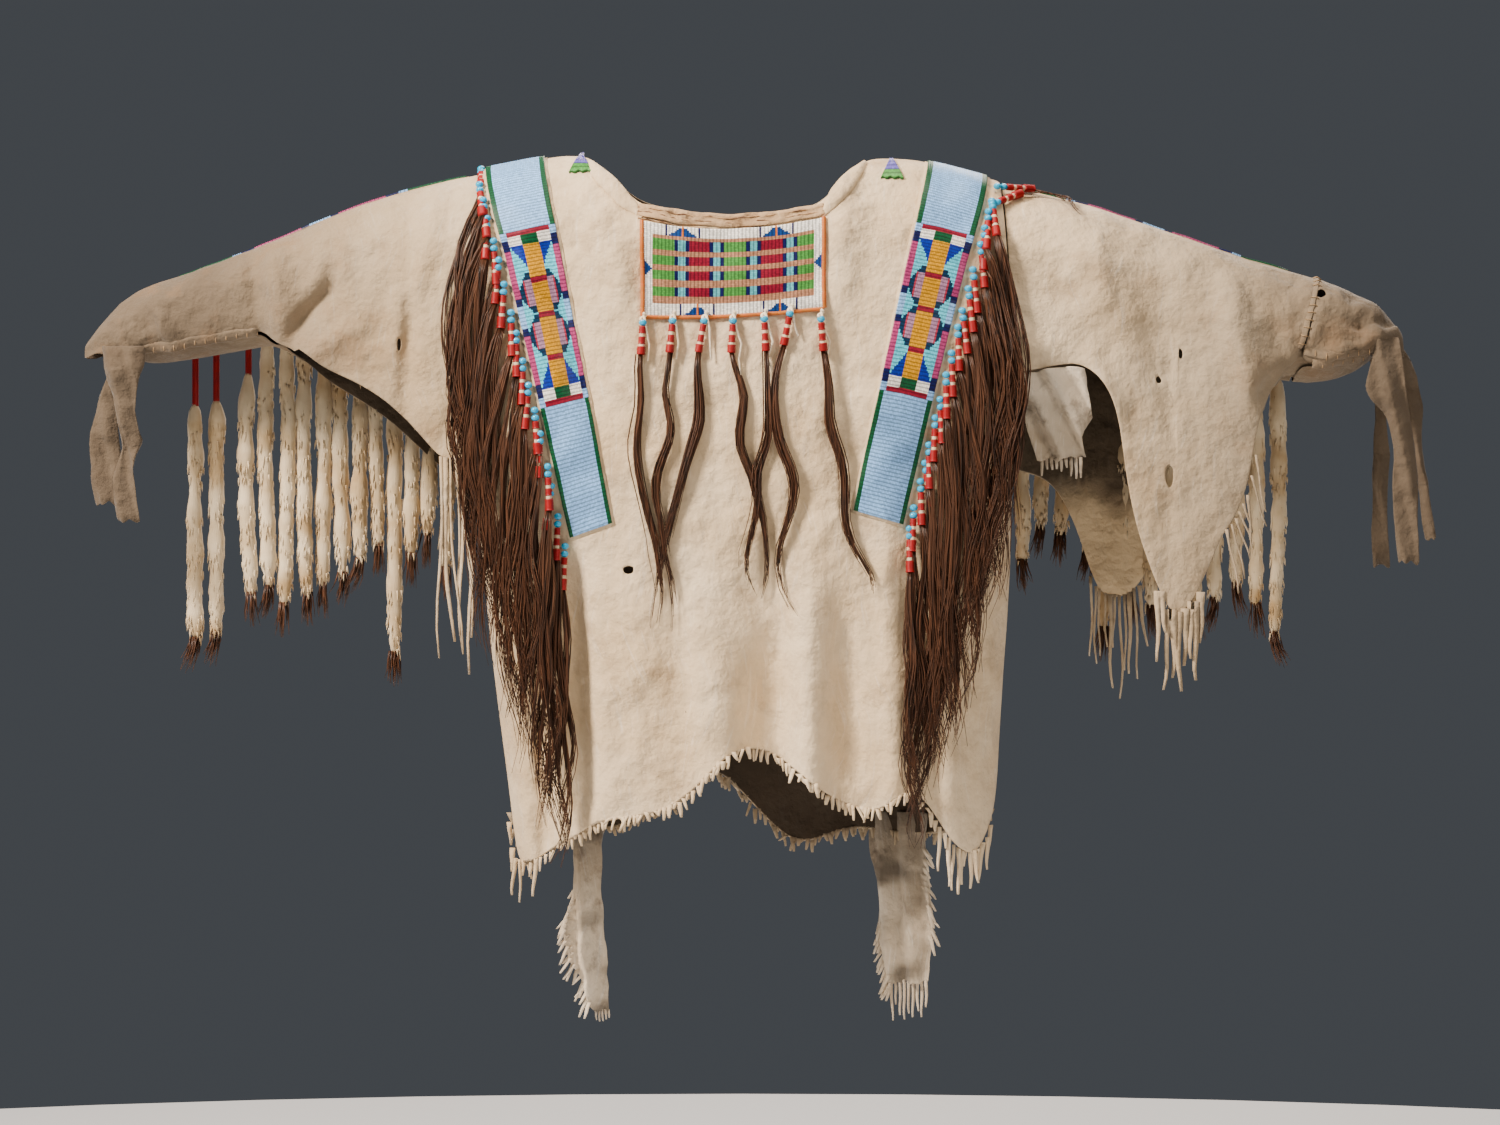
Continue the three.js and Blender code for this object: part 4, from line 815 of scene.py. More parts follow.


# Glass seed beads look bright and a little greasy, no two quite alike. Each lane is a separate string;
# the dark gap between lanes, and the fainter one between the beads of a lane, are painted shade on the
# bead colour. The gap is drawn after every second lane, because single lanes are too fine to show.
glass, glass_shader, _ = new_material("glass seed beads", {"Roughness": 0.42, "IOR": 1.45,
                                                           "Specular IOR Level": 0.35})
bead_tints = add_node(glass, "Attribute", {"attribute_name": "bead"}).outputs["Color"]
strung = add_node(glass, "UVMap", {"uv_map": "lanes"}).outputs[0]
counted = add_node(glass, "SeparateXYZ", None, {"Vector": strung}).outputs
# Painted shade in the gaps between lanes and between the beads of a lane
lane_gap_shade = ranged(glass, sum_up(glass, "PINGPONG", counted["Y"], 1.0), 0.0, 0.55, 0.34)
bead_gap_shade = ranged(glass, sum_up(glass, "PINGPONG", counted["X"], 0.5), 0.0, 0.20, 0.72)
bead_colour = add_node(glass, "VectorMath", {"operation": "SCALE"},
                       {0: bead_tints, "Scale": sum_up(glass, "MULTIPLY", lane_gap_shade, bead_gap_shade)})
feed(glass_shader, "Base Color", bead_colour.outputs[0])


def face_outwards(bm):
    bm.normal_update()
    sample = bm.faces[:][len(bm.faces) // 2]
    if sample.normal.dot(outward(sample.calc_center_median())) < 0:
        bmesh.ops.reverse_faces(bm, faces=bm.faces[:])


def beadwork(name, across, along, colour_of, place, seed, upright=False):
    """Beads sewn down in lanes, each raised in the middle of its cell, with the rim turned down. Lanes lie
    across the strip, or upright on it."""
    draw = random.Random(seed)
    bm = grid(across, along)
    paint = bm.faces.layers.float_color.new("bead")
    rim = [edge for edge in bm.edges if edge.is_boundary]
    for face in bm.faces:
        middle = face.calc_center_median()
        shade = draw.uniform(0.74, 1.16)
        colour = tint(BEAD_COLOURS[colour_of(int((middle.y + 0.5) * along), int((middle.x + 0.5) * across))])
        face[paint] = (*(part * shade for part in colour[:3]), 1)
    tops = bmesh.ops.poke(bm, faces=bm.faces[:])["verts"]
    lifts = {vertex: BAND_LIFT + BEAD_RISE for vertex in tops}
    skirt = bmesh.ops.extrude_edge_only(bm, edges=rim)["geom"]
    lifts.update({vertex: RIM_DROP for vertex in skirt if isinstance(vertex, bmesh.types.BMVert)})
    lanes = bm.loops.layers.uv.new("lanes")
    for face in bm.faces:
        for corner in face.loops:
            counts = ((corner.vert.co.x + 0.5) * across, (corner.vert.co.y + 0.5) * along)
            corner[lanes].uv = counts[::-1] if upright else counts
    for vertex in bm.verts:
        spot, normal = place(vertex.co.x + 0.5, vertex.co.y + 0.5)
        vertex.co = spot + normal * lifts.get(vertex, BAND_LIFT)
    face_outwards(bm)
    return piece_of(bm, name, glass)


# The strip of hide that carries the beads shows as a raw edge round them
BACKING_LIFT = 0.0012
BACKING_EDGE = 0.0028


def backing(name, wide, long, place):
    """The strip under a beadwork, a little larger than it."""
    bm = grid(6, round(long / 0.012))
    rim = [edge for edge in bm.edges if edge.is_boundary]
    skirt = bmesh.ops.extrude_edge_only(bm, edges=rim)["geom"]
    low = {vertex for vertex in skirt if isinstance(vertex, bmesh.types.BMVert)}
    draw = random.Random(name)
    for vertex in bm.verts:
        across = vertex.co.x * (1 + 2 * BACKING_EDGE * draw.uniform(0.8, 1.2) / wide) + 0.5
        along = vertex.co.y * (1 + 2 * BACKING_EDGE / long) + 0.5
        spot, normal = place(across, along)
        vertex.co = spot + normal * (RIM_DROP if vertex in low else BACKING_LIFT)
    face_outwards(bm)
    return attach(piece_of(bm, name, hide), "hide")


def band_place(side, face, along, across):
    """A place on a shoulder band: along is 0 on the crest and 1 at its end, across 0 at its outer edge."""
    band = SHOULDER_BANDS[side]
    outer, inner, outer_z, inner_z = band["front" if face < 0 else "back"]
    crest_x = mix(*band["crest"], across)
    end_x = mix(outer, inner, across)
    end_z = mix(outer_z, inner_z, across)
    crest_z = crest(crest_x)
    arc = SHOULDER_ROUND * math.pi / 2
    way = along * (arc + crest_z - SHOULDER_ROUND - end_z)
    drop = SHOULDER_ROUND * (1 - math.cos(min(way, arc) / SHOULDER_ROUND)) + max(0, way - arc)
    x = mix(crest_x, end_x, drop / (crest_z - end_z))
    z = crest(x) - drop * (crest(x) - end_z) / (crest_z - end_z)
    spot, normal = on_hide(x, z, face)
    return spot or Vector((x, 0, z)), normal


BAND_LENGTHS = {-1: 0.483, 1: 0.418}
for side in ("right", "left"):
    lanes = {face: round(length / LANE) for face, length in BAND_LENGTHS.items()}
    whole = lanes[1] + lanes[-1]

    def shoulder_place(across, along):
        way = along * whole - lanes[1]
        face = -1 if way > 0 else 1
        return band_place(side, face, abs(way) / lanes[face], across)

    def shoulder_colour(lane, column):
        return band_colour(abs(lane - lanes[1]), column, BAND_BEADS, PLAIN_LANES)

    band = beadwork(f"shoulder_beadwork_{side}", BAND_BEADS, whole, shoulder_colour, shoulder_place, 11)
    attach(band, "beadwork", f"shoulder_band_{side}")
    backing(f"shoulder_backing_{side}", 0.062, whole * LANE, shoulder_place)

# The two small beaded triangles on the shoulders
# Each is sewn straight on the hide beside the neck: violet at its tip, green at its notched foot.
TRIANGLES = {"right": {"x": -0.178, "top": 0.006, "foot": -0.0150, "half": 0.0130},
             "left": {"x": 0.177, "top": 0.001, "foot": -0.0205, "half": 0.0130}}
TRIANGLE_BEADS = 12
TRIANGLE_LANES = 10
for side, shape in TRIANGLES.items():

    def triangle_place(across, along):
        notch = 0.0009 * math.sin(across * 18) if along > 0.95 else 0
        x = shape["x"] + (across - 0.5) * 2 * shape["half"] * mix(0.12, 1, along)
        spot, normal = on_hide(x, mix(shape["top"], shape["foot"], along) + notch, -1)
        return spot or Vector((x, 0, crest(x))), normal

    def triangle_colour(lane, column):
        return "violet" if lane < 6 else "green"

    triangle = beadwork(f"triangle_{side}", TRIANGLE_BEADS, TRIANGLE_LANES, triangle_colour, triangle_place, 14)
    attach(triangle, "beadwork")

# The beaded bands behind the sleeves' crests
# Narrower strips of the same beadwork along the back of each arm, from the armhole to the forearm.
SLEEVE_BANDS = {"right": (-0.311, -0.641), "left": (0.311, 0.634)}
SLEEVE_BAND_WIDE = 0.058
BEHIND_CREST = 0.005
SLEEVE_BEADS = 28
SLEEVE_PLAIN = 32

for side, (near, far) in SLEEVE_BANDS.items():
    lanes = round(abs(far - near) / LANE)

    def sleeve_place(across, along):
        x = mix(near, far, along)
        spot, normal = round_shoulder(x, BEHIND_CREST + SLEEVE_BAND_WIDE * across, 1)
        return spot or Vector((x, 0, crest(x))), normal

    def sleeve_colour(lane, column):
        return band_colour(lane, column, SLEEVE_BEADS, SLEEVE_PLAIN)

    band = beadwork(f"sleeve_beadwork_{side}", SLEEVE_BEADS, lanes, sleeve_colour, sleeve_place, 12)
    attach(band, "beadwork", f"sleeve_band_{side}")
    backing(f"sleeve_backing_{side}", SLEEVE_BAND_WIDE, lanes * LANE, sleeve_place)

# The beaded bib
# A panel of hide under the neck, beaded in upright lanes and edged with a wrapped orange cord on
# three sides. Four barred rows on dusty pink, in a white border with small dark blue triangles.
BIB_SIDES = (-0.106, 0.098)
BIB_TOP = [(-0.106, -0.075), (-0.004, -0.083), (0.098, -0.070)]
BIB_FOOT = [(-0.106, -0.183), (-0.004, -0.182), (0.098, -0.173)]
BIB_LANES = 98
BIB_ROWS = 50
BIB_BARS = [(8, 14), (17, 22), (25, 30), (34, 39)]
BIB_FIELD = (6, 43)
BIB_BORDER = 5
BIB_SEQUENCE = [(17, "green"), (19, "navy"), (23, "pale turquoise"), (25, "navy"), (36, "burgundy"),
                (38, "navy"), (42, "pale turquoise"), (44, "navy"), (56, "green"), (58, "navy"),
                (62, "pale turquoise"), (64, "navy"), (76, "burgundy"), (78, "navy"),
                (82, "pale turquoise"), (84, "navy"), (98, "green")]
BIB_PEAKS = {"top": (21, 72), "foot": (29, 74)}
PEAK_HALF = 9


def sagging(points, x):
    """A height on the gentle curve through three points."""
    (x0, z0), (x1, z1), (x2, z2) = points
    a = (x - x1) * (x - x2) / ((x0 - x1) * (x0 - x2))
    b = (x - x0) * (x - x2) / ((x1 - x0) * (x1 - x2))
    c = (x - x0) * (x - x1) / ((x2 - x0) * (x2 - x1))
    return a * z0 + b * z1 + c * z2


def bib_place(across, down):
    x = mix(*BIB_SIDES, across)
    return on_hide(x, mix(sagging(BIB_TOP, x), sagging(BIB_FOOT, x), down), -1)


def bib_colour(row, lane):
    if BIB_FIELD[0] <= row < BIB_FIELD[1] and BIB_BORDER <= lane < BIB_LANES - BIB_BORDER:
        if any(first <= row < last for first, last in BIB_BARS):
            return next(name for last, name in BIB_SEQUENCE if lane < last)
        return "dusty pink"
    from_side = min(lane, BIB_LANES - 1 - lane)
    if from_side < BIB_BORDER and abs(row - 24) < 5 - from_side:
        return "blue"
    part = "top" if row < BIB_FIELD[0] else "foot" if row >= BIB_FIELD[1] else None
    if part and from_side >= BIB_BORDER:
        height = BIB_FIELD[0] - row if part == "top" else BIB_ROWS - row
        nearest = min(abs(lane - peak) for peak in BIB_PEAKS[part])
        if nearest == 0:
            return "orange"
        if nearest == PEAK_HALF:
            return "navy"
        if nearest < PEAK_HALF and height < 6.5 * (1 - nearest / PEAK_HALF):
            return "blue"
    return "white"


bib = beadwork("bib_beadwork", BIB_LANES, BIB_ROWS, bib_colour, bib_place, 13, upright=True)
attach(bib, "beadwork", "neck_bib")


# Dyed quills wrapped round a cord give a faint gloss and a rib for every turn
def quillwork(name, colour):
    material, shader, place = new_material(name, {"Roughness": 0.5, "Specular IOR Level": 0.4})
    uneven = cloud(material, place, 160.0, 3.0).outputs["Color"]
    shade = laid_over(material, 0.55, tint(colour), uneven, "MULTIPLY")
    feed(shader, "Base Color", add_node(material, "HueSaturation", None, {"Color": shade, "Value": 1.35}).outputs[0])
    return material


orange_wrap = quillwork("orange wrapped cord", "#BC6520")
EDGING = 0.0028
TURN = 0.0016


def wrapped(route, radius, turn):
    """A path whose radius swells at each turn of the wrapping."""
    path = []
    for start, end in zip(route, route[1:]):
        steps = max(1, round((end - start).length / turn * 2))
        for step in range(steps):
            swell = 1 if step % 2 else 0.8
            path.append((start.lerp(end, step / steps), radius * swell))
    path.append((route[-1], radius))
    return path


def bib_route(points):
    route = []
    for across, down in points:
        spot, normal = bib_place(across, down)
        route.append(spot + normal * EDGING)
    return route


EDGING_STEPS = 12
edging_rows = [k / EDGING_STEPS for k in range(EDGING_STEPS + 1)]
edging_routes = [bib_route([(-0.006, share) for share in edging_rows]),
                 bib_route([(1.006, share) for share in edging_rows]),
                 bib_route([(share, 1.012) for share in edging_rows])]
edging = strands("bib_edging", [wrapped(route, EDGING, TURN) for route in edging_routes], 1, orange_wrap)
attach(edging, "beadwork")

# The locks of hair along the shoulder bands
# Each is a bunch of dark hair bound to a thong, the binding wrapped with red and undyed quills under
# two blue pony beads. They hang in a close row from the outer edge of each band, front and back.
LOCK_ROWS = {
    -1: {"from": {"right": 0.05, "left": 0.15}, "to": 1.0, "count": 17, "long": 0.44, "fan": 0.026,
         "shrink": 0.06, "hairs": 42},
    1: {"from": {"right": 0.16, "left": 0.16}, "to": 0.98, "count": 11, "long": 0.40, "fan": 0.018,
        "shrink": 0.05, "hairs": 30},
}
BAND_AHEAD = -0.10
PONY = 0.0046
STEM_PARTS = [("red", 0.008), ("cream", 0.004), ("red", 0.008), ("cream", 0.004), ("red", 0.013)]
STEM_RADIUS = 0.0043
HAIR_STEPS = 14
HAIR_RADIUS = 0.0008
LOCK_STAND = 0.006
STEM_SHARE = 0.12
LOCK_HALF = 0.012
LOCK_SPREAD = 0.015
LOCK_WAVE = 0.010
STRAY_SHARE = 0.07
STRAY_REACH = 2.4
HAIR_GAP = 0.0021
CLUMP_HAIRS = 9

red_quill = quillwork("red dyed quills", "#970209")
cream_quill = quillwork("undyed quills", "#E3CBA8")

# Opaque glass pony beads: thick, bright blue, with a sharp highlight
pony_glass, _, _ = new_material("blue glass pony beads", {
    "Base Color": tint("#06A5D6"), "Roughness": 0.15, "IOR": 1.5, "Coat Weight": 0.4})

# Hair shows as fine streaks of dark brown that run down each lock, with a dull gloss along them
human_hair, _, _ = mottled("dark brown hair", {"Roughness": 0.42, "Specular IOR Level": 0.35},
                           [(0.3, "#1A0F09"), (0.72, "#5F3C27")], 1.0, 2.0, (420.0, 420.0, 9.0))


def add_ball(bm, centre, radius, flat):
    """A pony bead, a little shorter than it is wide."""
    size = Matrix.Translation(centre) @ Matrix.Diagonal((radius, radius, radius * flat, 1))
    bmesh.ops.create_uvsphere(bm, u_segments=12, v_segments=8, radius=1, matrix=size)


class Trim:
    """The beads, wrapped stems and hair of the pieces that are being made."""

    def __init__(self):
        self.beads = bmesh.new()
        self.red = []
        self.cream = []
        self.hair = []


def add_head(trim, root, lean, beads, parts, radius):
    """Beads and a wrapped stem hanging from a root; returns where the hair starts."""
    place = root.copy()
    for _ in range(beads):
        place += lean * PONY
        add_ball(trim.beads, place, PONY, 0.85)
        place += lean * PONY * 0.9
    for k, (colour, length) in enumerate(parts):
        end = place + lean * length
        wide = radius * (1.25 if k == len(parts) - 1 else 1)
        paths = trim.red if colour == "red" else trim.cream
        paths.append(wrapped([place, end], wide if colour == "red" else wide * 0.85, TURN))
        place = end
    return place


def add_hairs(trim, middle_line, hairs, spread, wave, draw, thick, taper=0.35):
    """Fine hairs that hold together in wavy clumps along a middle line, thinning out at their tips."""
    for k in range(hairs):
        if k % CLUMP_HAIRS == 0:
            around = draw.uniform(0, 2 * math.pi)
            far = math.sqrt(draw.random())
            phase = draw.uniform(0, 2 * math.pi)
            turns = draw.uniform(1.3, 2.6)
            reach = draw.uniform(0.78, 1.0)
            swing = draw.uniform(0.5, 1.5) * wave
        stray = STRAY_REACH if draw.random() < STRAY_SHARE else 1
        own = Vector((draw.gauss(0, 1), draw.gauss(0, 0.6), 0)) * HAIR_GAP * stray
        long = reach * draw.uniform(0.82, 1.04)
        shift = draw.uniform(-0.35, 0.35)
        path = []
        for step in range(HAIR_STEPS):
            share = step / (HAIR_STEPS - 1) * long
            at = min(1, share) * (len(middle_line) - 1)
            low = min(len(middle_line) - 2, int(at))
            centre = middle_line[low].lerp(middle_line[low + 1], at - low)
            full = min(1, 0.22 + 2.2 * share) * (1 - taper * min(1, share) ** 1.5)
            off = Vector((math.cos(around), 0.4 * math.sin(around), 0)) * far * spread * full
            sway = swing * share ** 0.7 * math.sin(phase + shift + turns * 2 * math.pi * share)
            radius = thick * (1 - 0.7 * (step / (HAIR_STEPS - 1)) ** 2)
            loose = own * (0.4 + share) * (1 - max(0, taper - 0.35) * min(1, share) ** 1.5)
            path.append((centre + off + loose + Vector((sway, 0, 0)), radius))
        trim.hair.append(path)


def finish_trim(trim, name, *nodes):
    """Makes the pieces of a row: beads, red and cream wrapping, and hair, which stands for the nodes."""
    attach(piece_of(trim.beads, name + "_beads", pony_glass), "beadwork")
    attach(strands(name + "_red_wrap", trim.red, 1, red_quill), "hair")
    attach(strands(name + "_cream_wrap", trim.cream, 1, cream_quill), "hair")
    attach(strands(name + "_hair", trim.hair, 0, human_hair), "hair", *nodes)


def hang_line(side, face, along, long, fan):
    """The middle line of a lock that hangs over the hide from a place beside the band."""
    sign = -1 if side == "right" else 1
    root, normal = band_place(side, face, along, BAND_AHEAD)
    line = []
    out = abs(root.y) + LOCK_STAND
    steps = 40
    start = root + normal * LOCK_STAND
    for step in range(steps + 1):
        share = step / steps
        below = max(0, share - STEM_SHARE) / (1 - STEM_SHARE)
        x = start.x + sign * (fan * math.sin(math.pi * below ** 0.7) + 0.004 * share)
        z = start.z - long * share
        for beside in (x - LOCK_HALF, x, x + LOCK_HALF):
            spot, _ = on_hide(beside, min(z, crest(beside) - 0.001), face)
            if spot is not None and abs(spot.y) < 0.13:
                out = max(out, abs(spot.y) + LOCK_STAND)
        y = face * mix(abs(start.y), out, min(1, share * 12))
        line.append(Vector((x, y, z)))
    return line


for side in ("right", "left"):
    for face, row in LOCK_ROWS.items():
        draw = random.Random(31 + face + (7 if side == "left" else 0))
        trim = Trim()
        for k in range(row["count"]):
            share = k / (row["count"] - 1)
            along = mix(row["from"][side], row["to"], share) + draw.uniform(-0.012, 0.012)
            fan = row["fan"] * (1 - share) + draw.uniform(-0.004, 0.006)
            long = (row["long"] - row["shrink"] * share) * draw.uniform(0.92, 1.12)
            line = hang_line(side, face, along, long, fan)
            lean = (line[4] - line[0]).normalized()
            lean = (lean + Vector((draw.uniform(-0.12, 0.12), 0, 0))).normalized()
            bottom = add_head(trim, line[0], lean, 2, STEM_PARTS, STEM_RADIUS)
            below = [spot for spot in line if spot.z < bottom.z - 0.004]
            shift = bottom - below[0]
            tail = [bottom] + [spot + shift * max(0, 1 - 2.5 * (n + 1) / len(below))
                               for n, spot in enumerate(below)]
            add_hairs(trim, tail, row["hairs"], LOCK_SPREAD, LOCK_WAVE, draw, HAIR_RADIUS)
        name = f"{'front' if face < 0 else 'back'}_locks_{side}"
        finish_trim(trim, name, f"hair_row_{'front' if face < 0 else 'back'}_{side}")

# Two locks of the left shoulder are thrown outwards over the sleeve
THROWN = [
    [(0.286, -0.050), (0.330, -0.034), (0.352, -0.032), (0.378, -0.042), (0.392, -0.062)],
    [(0.292, -0.030), (0.332, -0.024), (0.346, -0.028), (0.368, -0.036), (0.378, -0.052)],
]
draw = random.Random(9)
trim = Trim()
for points in THROWN:
    places = []
    for x, z in points:
        spot, normal = on_hide(x, min(z, crest(x) - 0.002), -1)
        places.append(spot + normal * LOCK_STAND)
    lean = (places[1] - places[0]).normalized()
    bottom = add_head(trim, places[0], lean, 2, STEM_PARTS, STEM_RADIUS)
    add_hairs(trim, [bottom, *places[2:]], 14, 0.004, 0.002, draw, HAIR_RADIUS)
finish_trim(trim, "thrown_locks")

# The pendants under the bib
# Seven longer wavy locks on thongs from the bib's lower edge, each with one blue bead and a wrapped stem.
# Each lock's middle, from its root to its tip: x and height in millimetres
PENDANTS = [
    [(-106, -186), (-109, -231), (-109, -248), (-106, -280), (-110, -309), (-112, -333), (-109, -362),
     (-101, -399), (-91, -433), (-87, -465), (-84, -491), (-90, -530)],
    [(-72, -184), (-76, -224), (-80, -256), (-83, -275), (-75, -301), (-75, -322), (-84, -343), (-92, -367),
     (-92, -393), (-85, -420), (-83, -446), (-74, -478), (-71, -512), (-75, -545)],
    [(-36, -184), (-44, -224), (-46, -248), (-43, -280), (-43, -304), (-51, -330), (-60, -359), (-68, -391),
     (-77, -422), (-85, -457), (-89, -491), (-96, -540)],
    [(-4, -184), (-7, -224), (-4, -240), (5, -261), (9, -280), (3, -304), (2, -327), (10, -348), (20, -370),
     (24, -393), (30, -412), (33, -438), (35, -473), (27, -503)],
    [(31, -182), (33, -227), (34, -250), (35, -288), (35, -317), (29, -338), (21, -359), (24, -393),
     (17, -425), (9, -451), (11, -478), (24, -504)],
    [(61, -176), (54, -213), (46, -238), (41, -261), (41, -288), (46, -320), (54, -341), (61, -357),
     (65, -380), (59, -409), (49, -435), (45, -459), (49, -488), (61, -514), (75, -528)],
    [(95, -182), (98, -230), (103, -253), (104, -280), (103, -301), (110, -325), (119, -348), (122, -377),
     (120, -406), (125, -433), (139, -457), (153, -478), (156, -496), (151, -516)],
]
PENDANT_HAIRS = 46
PENDANT_SPREAD = 0.0066
PENDANT_WAVE = 0.0016
PENDANT_STAND = 0.007
THONG_ENDS = [(4, -14), (9, -30), (6, -48), (11, -66)]

pale_thong = buckskin("pale buckskin thong", "#F6E8CE", "#DCC39A", "#A98A60", "#FFF8EA")

draw = random.Random(5)
trim = Trim()
knots = []
for points in PENDANTS:
    places = []
    for x, z in spread([(x * MM, z * MM) for x, z in points], 4 * len(points)):
        spot, _ = on_hide(x, z, -1)
        places.append(Vector((x, spot.y - PENDANT_STAND, z)))
    root = places[0]
    stem_end = min(places, key=lambda place: abs(place.z - points[1][1] * MM))
    lean = (stem_end - root).normalized()
    bottom = add_head(trim, root, lean, 1, STEM_PARTS[:3] + [("cream", 0.003), ("red", 0.009)], STEM_RADIUS)
    below = [place for place in places if place.z < bottom.z - 0.002]
    shift = bottom - below[0]
    tail = [place + shift * max(0, 1 - 4 * n / len(below)) for n, place in enumerate(below)]
    add_hairs(trim, tail, PENDANT_HAIRS, PENDANT_SPREAD, PENDANT_WAVE, draw, HAIR_RADIUS, 0.95)
    knots.append([(root + Vector((0.003 * math.sin(turn), -0.002 * math.cos(turn), 0.006 - 0.0014 * turn)), 0.0017)
                  for turn in range(7)])
    loose = [root + Vector((0.001, 0, 0.004))]
    for x, z in THONG_ENDS[:draw.choice((2, 3, 4))]:
        place = root + Vector((x * MM * draw.uniform(0.6, 1.3), 0, z * MM))
        spot, _ = on_hide(place.x, place.z, -1)
        loose.append(Vector((place.x, spot.y - 0.006, place.z)))
    knots.append([(place, 0.0018 * (1 - 0.6 * n / len(loose))) for n, place in enumerate(loose)])
attach(strands("pendant_thongs", knots, 1, pale_thong), "hide")
finish_trim(trim, "bib_locks", "bib_pendants")

# The ermine tubes behind the sleeves
# Whole winter skins of a small weasel rolled into tubes and hung by thongs from the sleeve bands'
# lower edge. The fur is cream and short, and each keeps its dark tail tip.
ERMINE_TUBES = {
    "right": [(-628, -282, -552), (-604, -276, -546), (-567, -244, -500), (-545, -200, -492),
              (-524, -195, -512), (-502, -188, -500), (-481, -180, -489), (-460, -175, -477),
              (-439, -170, -460), (-419, -165, -443), (-399, -160, -569), (-379, -155, -454),
              (-359, -150, -432), (-338, -145, -470)],
    "left": [(626, -250, -546), (603, -235, -512), (580, -225, -489), (555, -215, -506),
             (530, -205, -515), (505, -200, -520), (480, -190, -515), (455, -185, -500),
             (430, -175, -540), (405, -170, -450), (380, -160, -430), (355, -155, -420),
             (333, -150, -462)],
}
RED_STEMS = (-628, -604, -567, 626)
TUBE_RADIUS = 0.0086
THONG_RADIUS = 0.0017
RED_STEM_RADIUS = 0.0042
TUBE_STEPS = 34
TAIL_SPREAD = 0.0055
TUBE_OFF = 0.013
HAIR_TUFTS = 260
TUFT_LONG = 0.010
TAIL_LONG = 0.034
TAIL_HAIRS = 26

# Ermine looks soft and matt, cream turning yellow with age, with shallow furrows between the tufts
ermine, ermine_shader, ermine_place = mottled("winter ermine fur", {
    "Roughness": 0.95, "Sheen Weight": 0.35, "Sheen Roughness": 0.4, "Specular IOR Level": 0.15},
    [(0.35, "#DCCAA9"), (0.70, "#A98C62")], 22.0, 3.0)
furrows = add_node(ermine, "Mapping", None, {"Vector": ermine_place, "Scale": (330.0, 330.0, 60.0)}).outputs[0]
feed(ermine_shader, "Normal", bump(ermine, cloud(ermine, furrows, 1.0, 4.0, 0.6).outputs["Fac"], 0.5, 0.0016))

for side, tubes in ERMINE_TUBES.items():
    draw = random.Random(61 if side == "right" else 62)
    skins = []
    tufts = []
    thongs = []
    red_stems = []
    tails = []
    for x_mm, fur_mm, foot_mm in tubes:
        x = x_mm * MM
        root, normal = round_shoulder(x, BEHIND_CREST + SLEEVE_BAND_WIDE + 0.006, 1)
        sleeve_back, _ = on_hide(x, crest(x) - rounding_at(x), 1)
        out = max(root.y, sleeve_back.y) + TUBE_OFF
        top = min(fur_mm * MM, root.z - 0.03)
        foot = foot_mm * MM
        bend = draw.uniform(-0.004, 0.004)
        stem = [root + normal * 0.003, Vector((x, out, root.z - 0.022)), Vector((x, out, top))]
        if x_mm in RED_STEMS:
            red_stems.append(wrapped([stem[1], stem[2]], RED_STEM_RADIUS, TURN))
        thongs.append([(spot, THONG_RADIUS) for spot in stem])
        skin = []
        for step in range(TUBE_STEPS + 1):
            share = step / TUBE_STEPS
            z = mix(top + 0.004, foot, share)
            close = min(1, math.sqrt(max(0.0, share * 14)), math.sqrt(max(0.0, (1 - share) * 9)))
            lump = 1 + 0.42 * noise.noise(Vector((x * 90, z * 34, 3)))
            lump += 0.10 * noise.noise(Vector((x * 90, z * 110, 9)))
            radius = TUBE_RADIUS * (0.3 + 0.7 * close) * lump
            wander = bend * math.sin(math.pi * share * 1.3) + 0.0016 * noise.noise(Vector((x * 50, 7, z * 25)))
            skin.append((Vector((x + wander, out + wander * 0.5, z)), radius))
        skins.append(skin)
        for _ in range(HAIR_TUFTS):
            at = draw.uniform(0.02, 0.995)
            centre, radius = skin[int(at * TUBE_STEPS)]
            angle = draw.uniform(0, 2 * math.pi)
            side_way = Vector((math.cos(angle), math.sin(angle), 0))
            stand = draw.uniform(0.10, 0.30)
            long = TUFT_LONG * draw.uniform(0.6, 1.1)
            base = centre + side_way * radius * 0.9
            base.z = mix(top, foot, at)
            mid = base + (side_way * stand + Vector((0, 0, -1))) * long * 0.5
            tip = mid + (side_way * stand * 0.6 + Vector((0, 0, -1))) * long * 0.5
            tufts.append([(base, 0.0014), (mid, 0.0009), (tip, 0.0001)])
        tail_root = skin[-1][0]
        swing = draw.uniform(-0.010, 0.010)
        for _ in range(TAIL_HAIRS):
            angle = draw.uniform(0, 2 * math.pi)
            far = draw.uniform(0, TAIL_SPREAD)
            off = Vector((math.cos(angle) * far, math.sin(angle) * far, 0))
            long = TAIL_LONG * draw.uniform(0.7, 1.25)
            path = []
            for step in range(4):
                share = step / 3
                sideways = Vector((swing * share * share + draw.uniform(-0.0012, 0.0012), 0, 0))
                drop = Vector((0, 0, 0.004 - long * share))
                path.append((tail_root + off * (1 + share) + sideways + drop, 0.0012 * (1 - 0.8 * share)))
            tails.append(path)
    attach(strands(f"ermine_skins_{side}", skins, 3, ermine), "ermine", f"ermine_row_{side}")
    attach(strands(f"ermine_fur_{side}", tufts, 0, ermine), "ermine")
    attach(strands(f"ermine_thongs_{side}", thongs, 1, hide), "hide")
    attach(strands(f"ermine_stems_{side}", red_stems, 1, red_quill), "hair")
    attach(strands(f"ermine_tails_{side}", tails, 0, human_hair), "ermine")

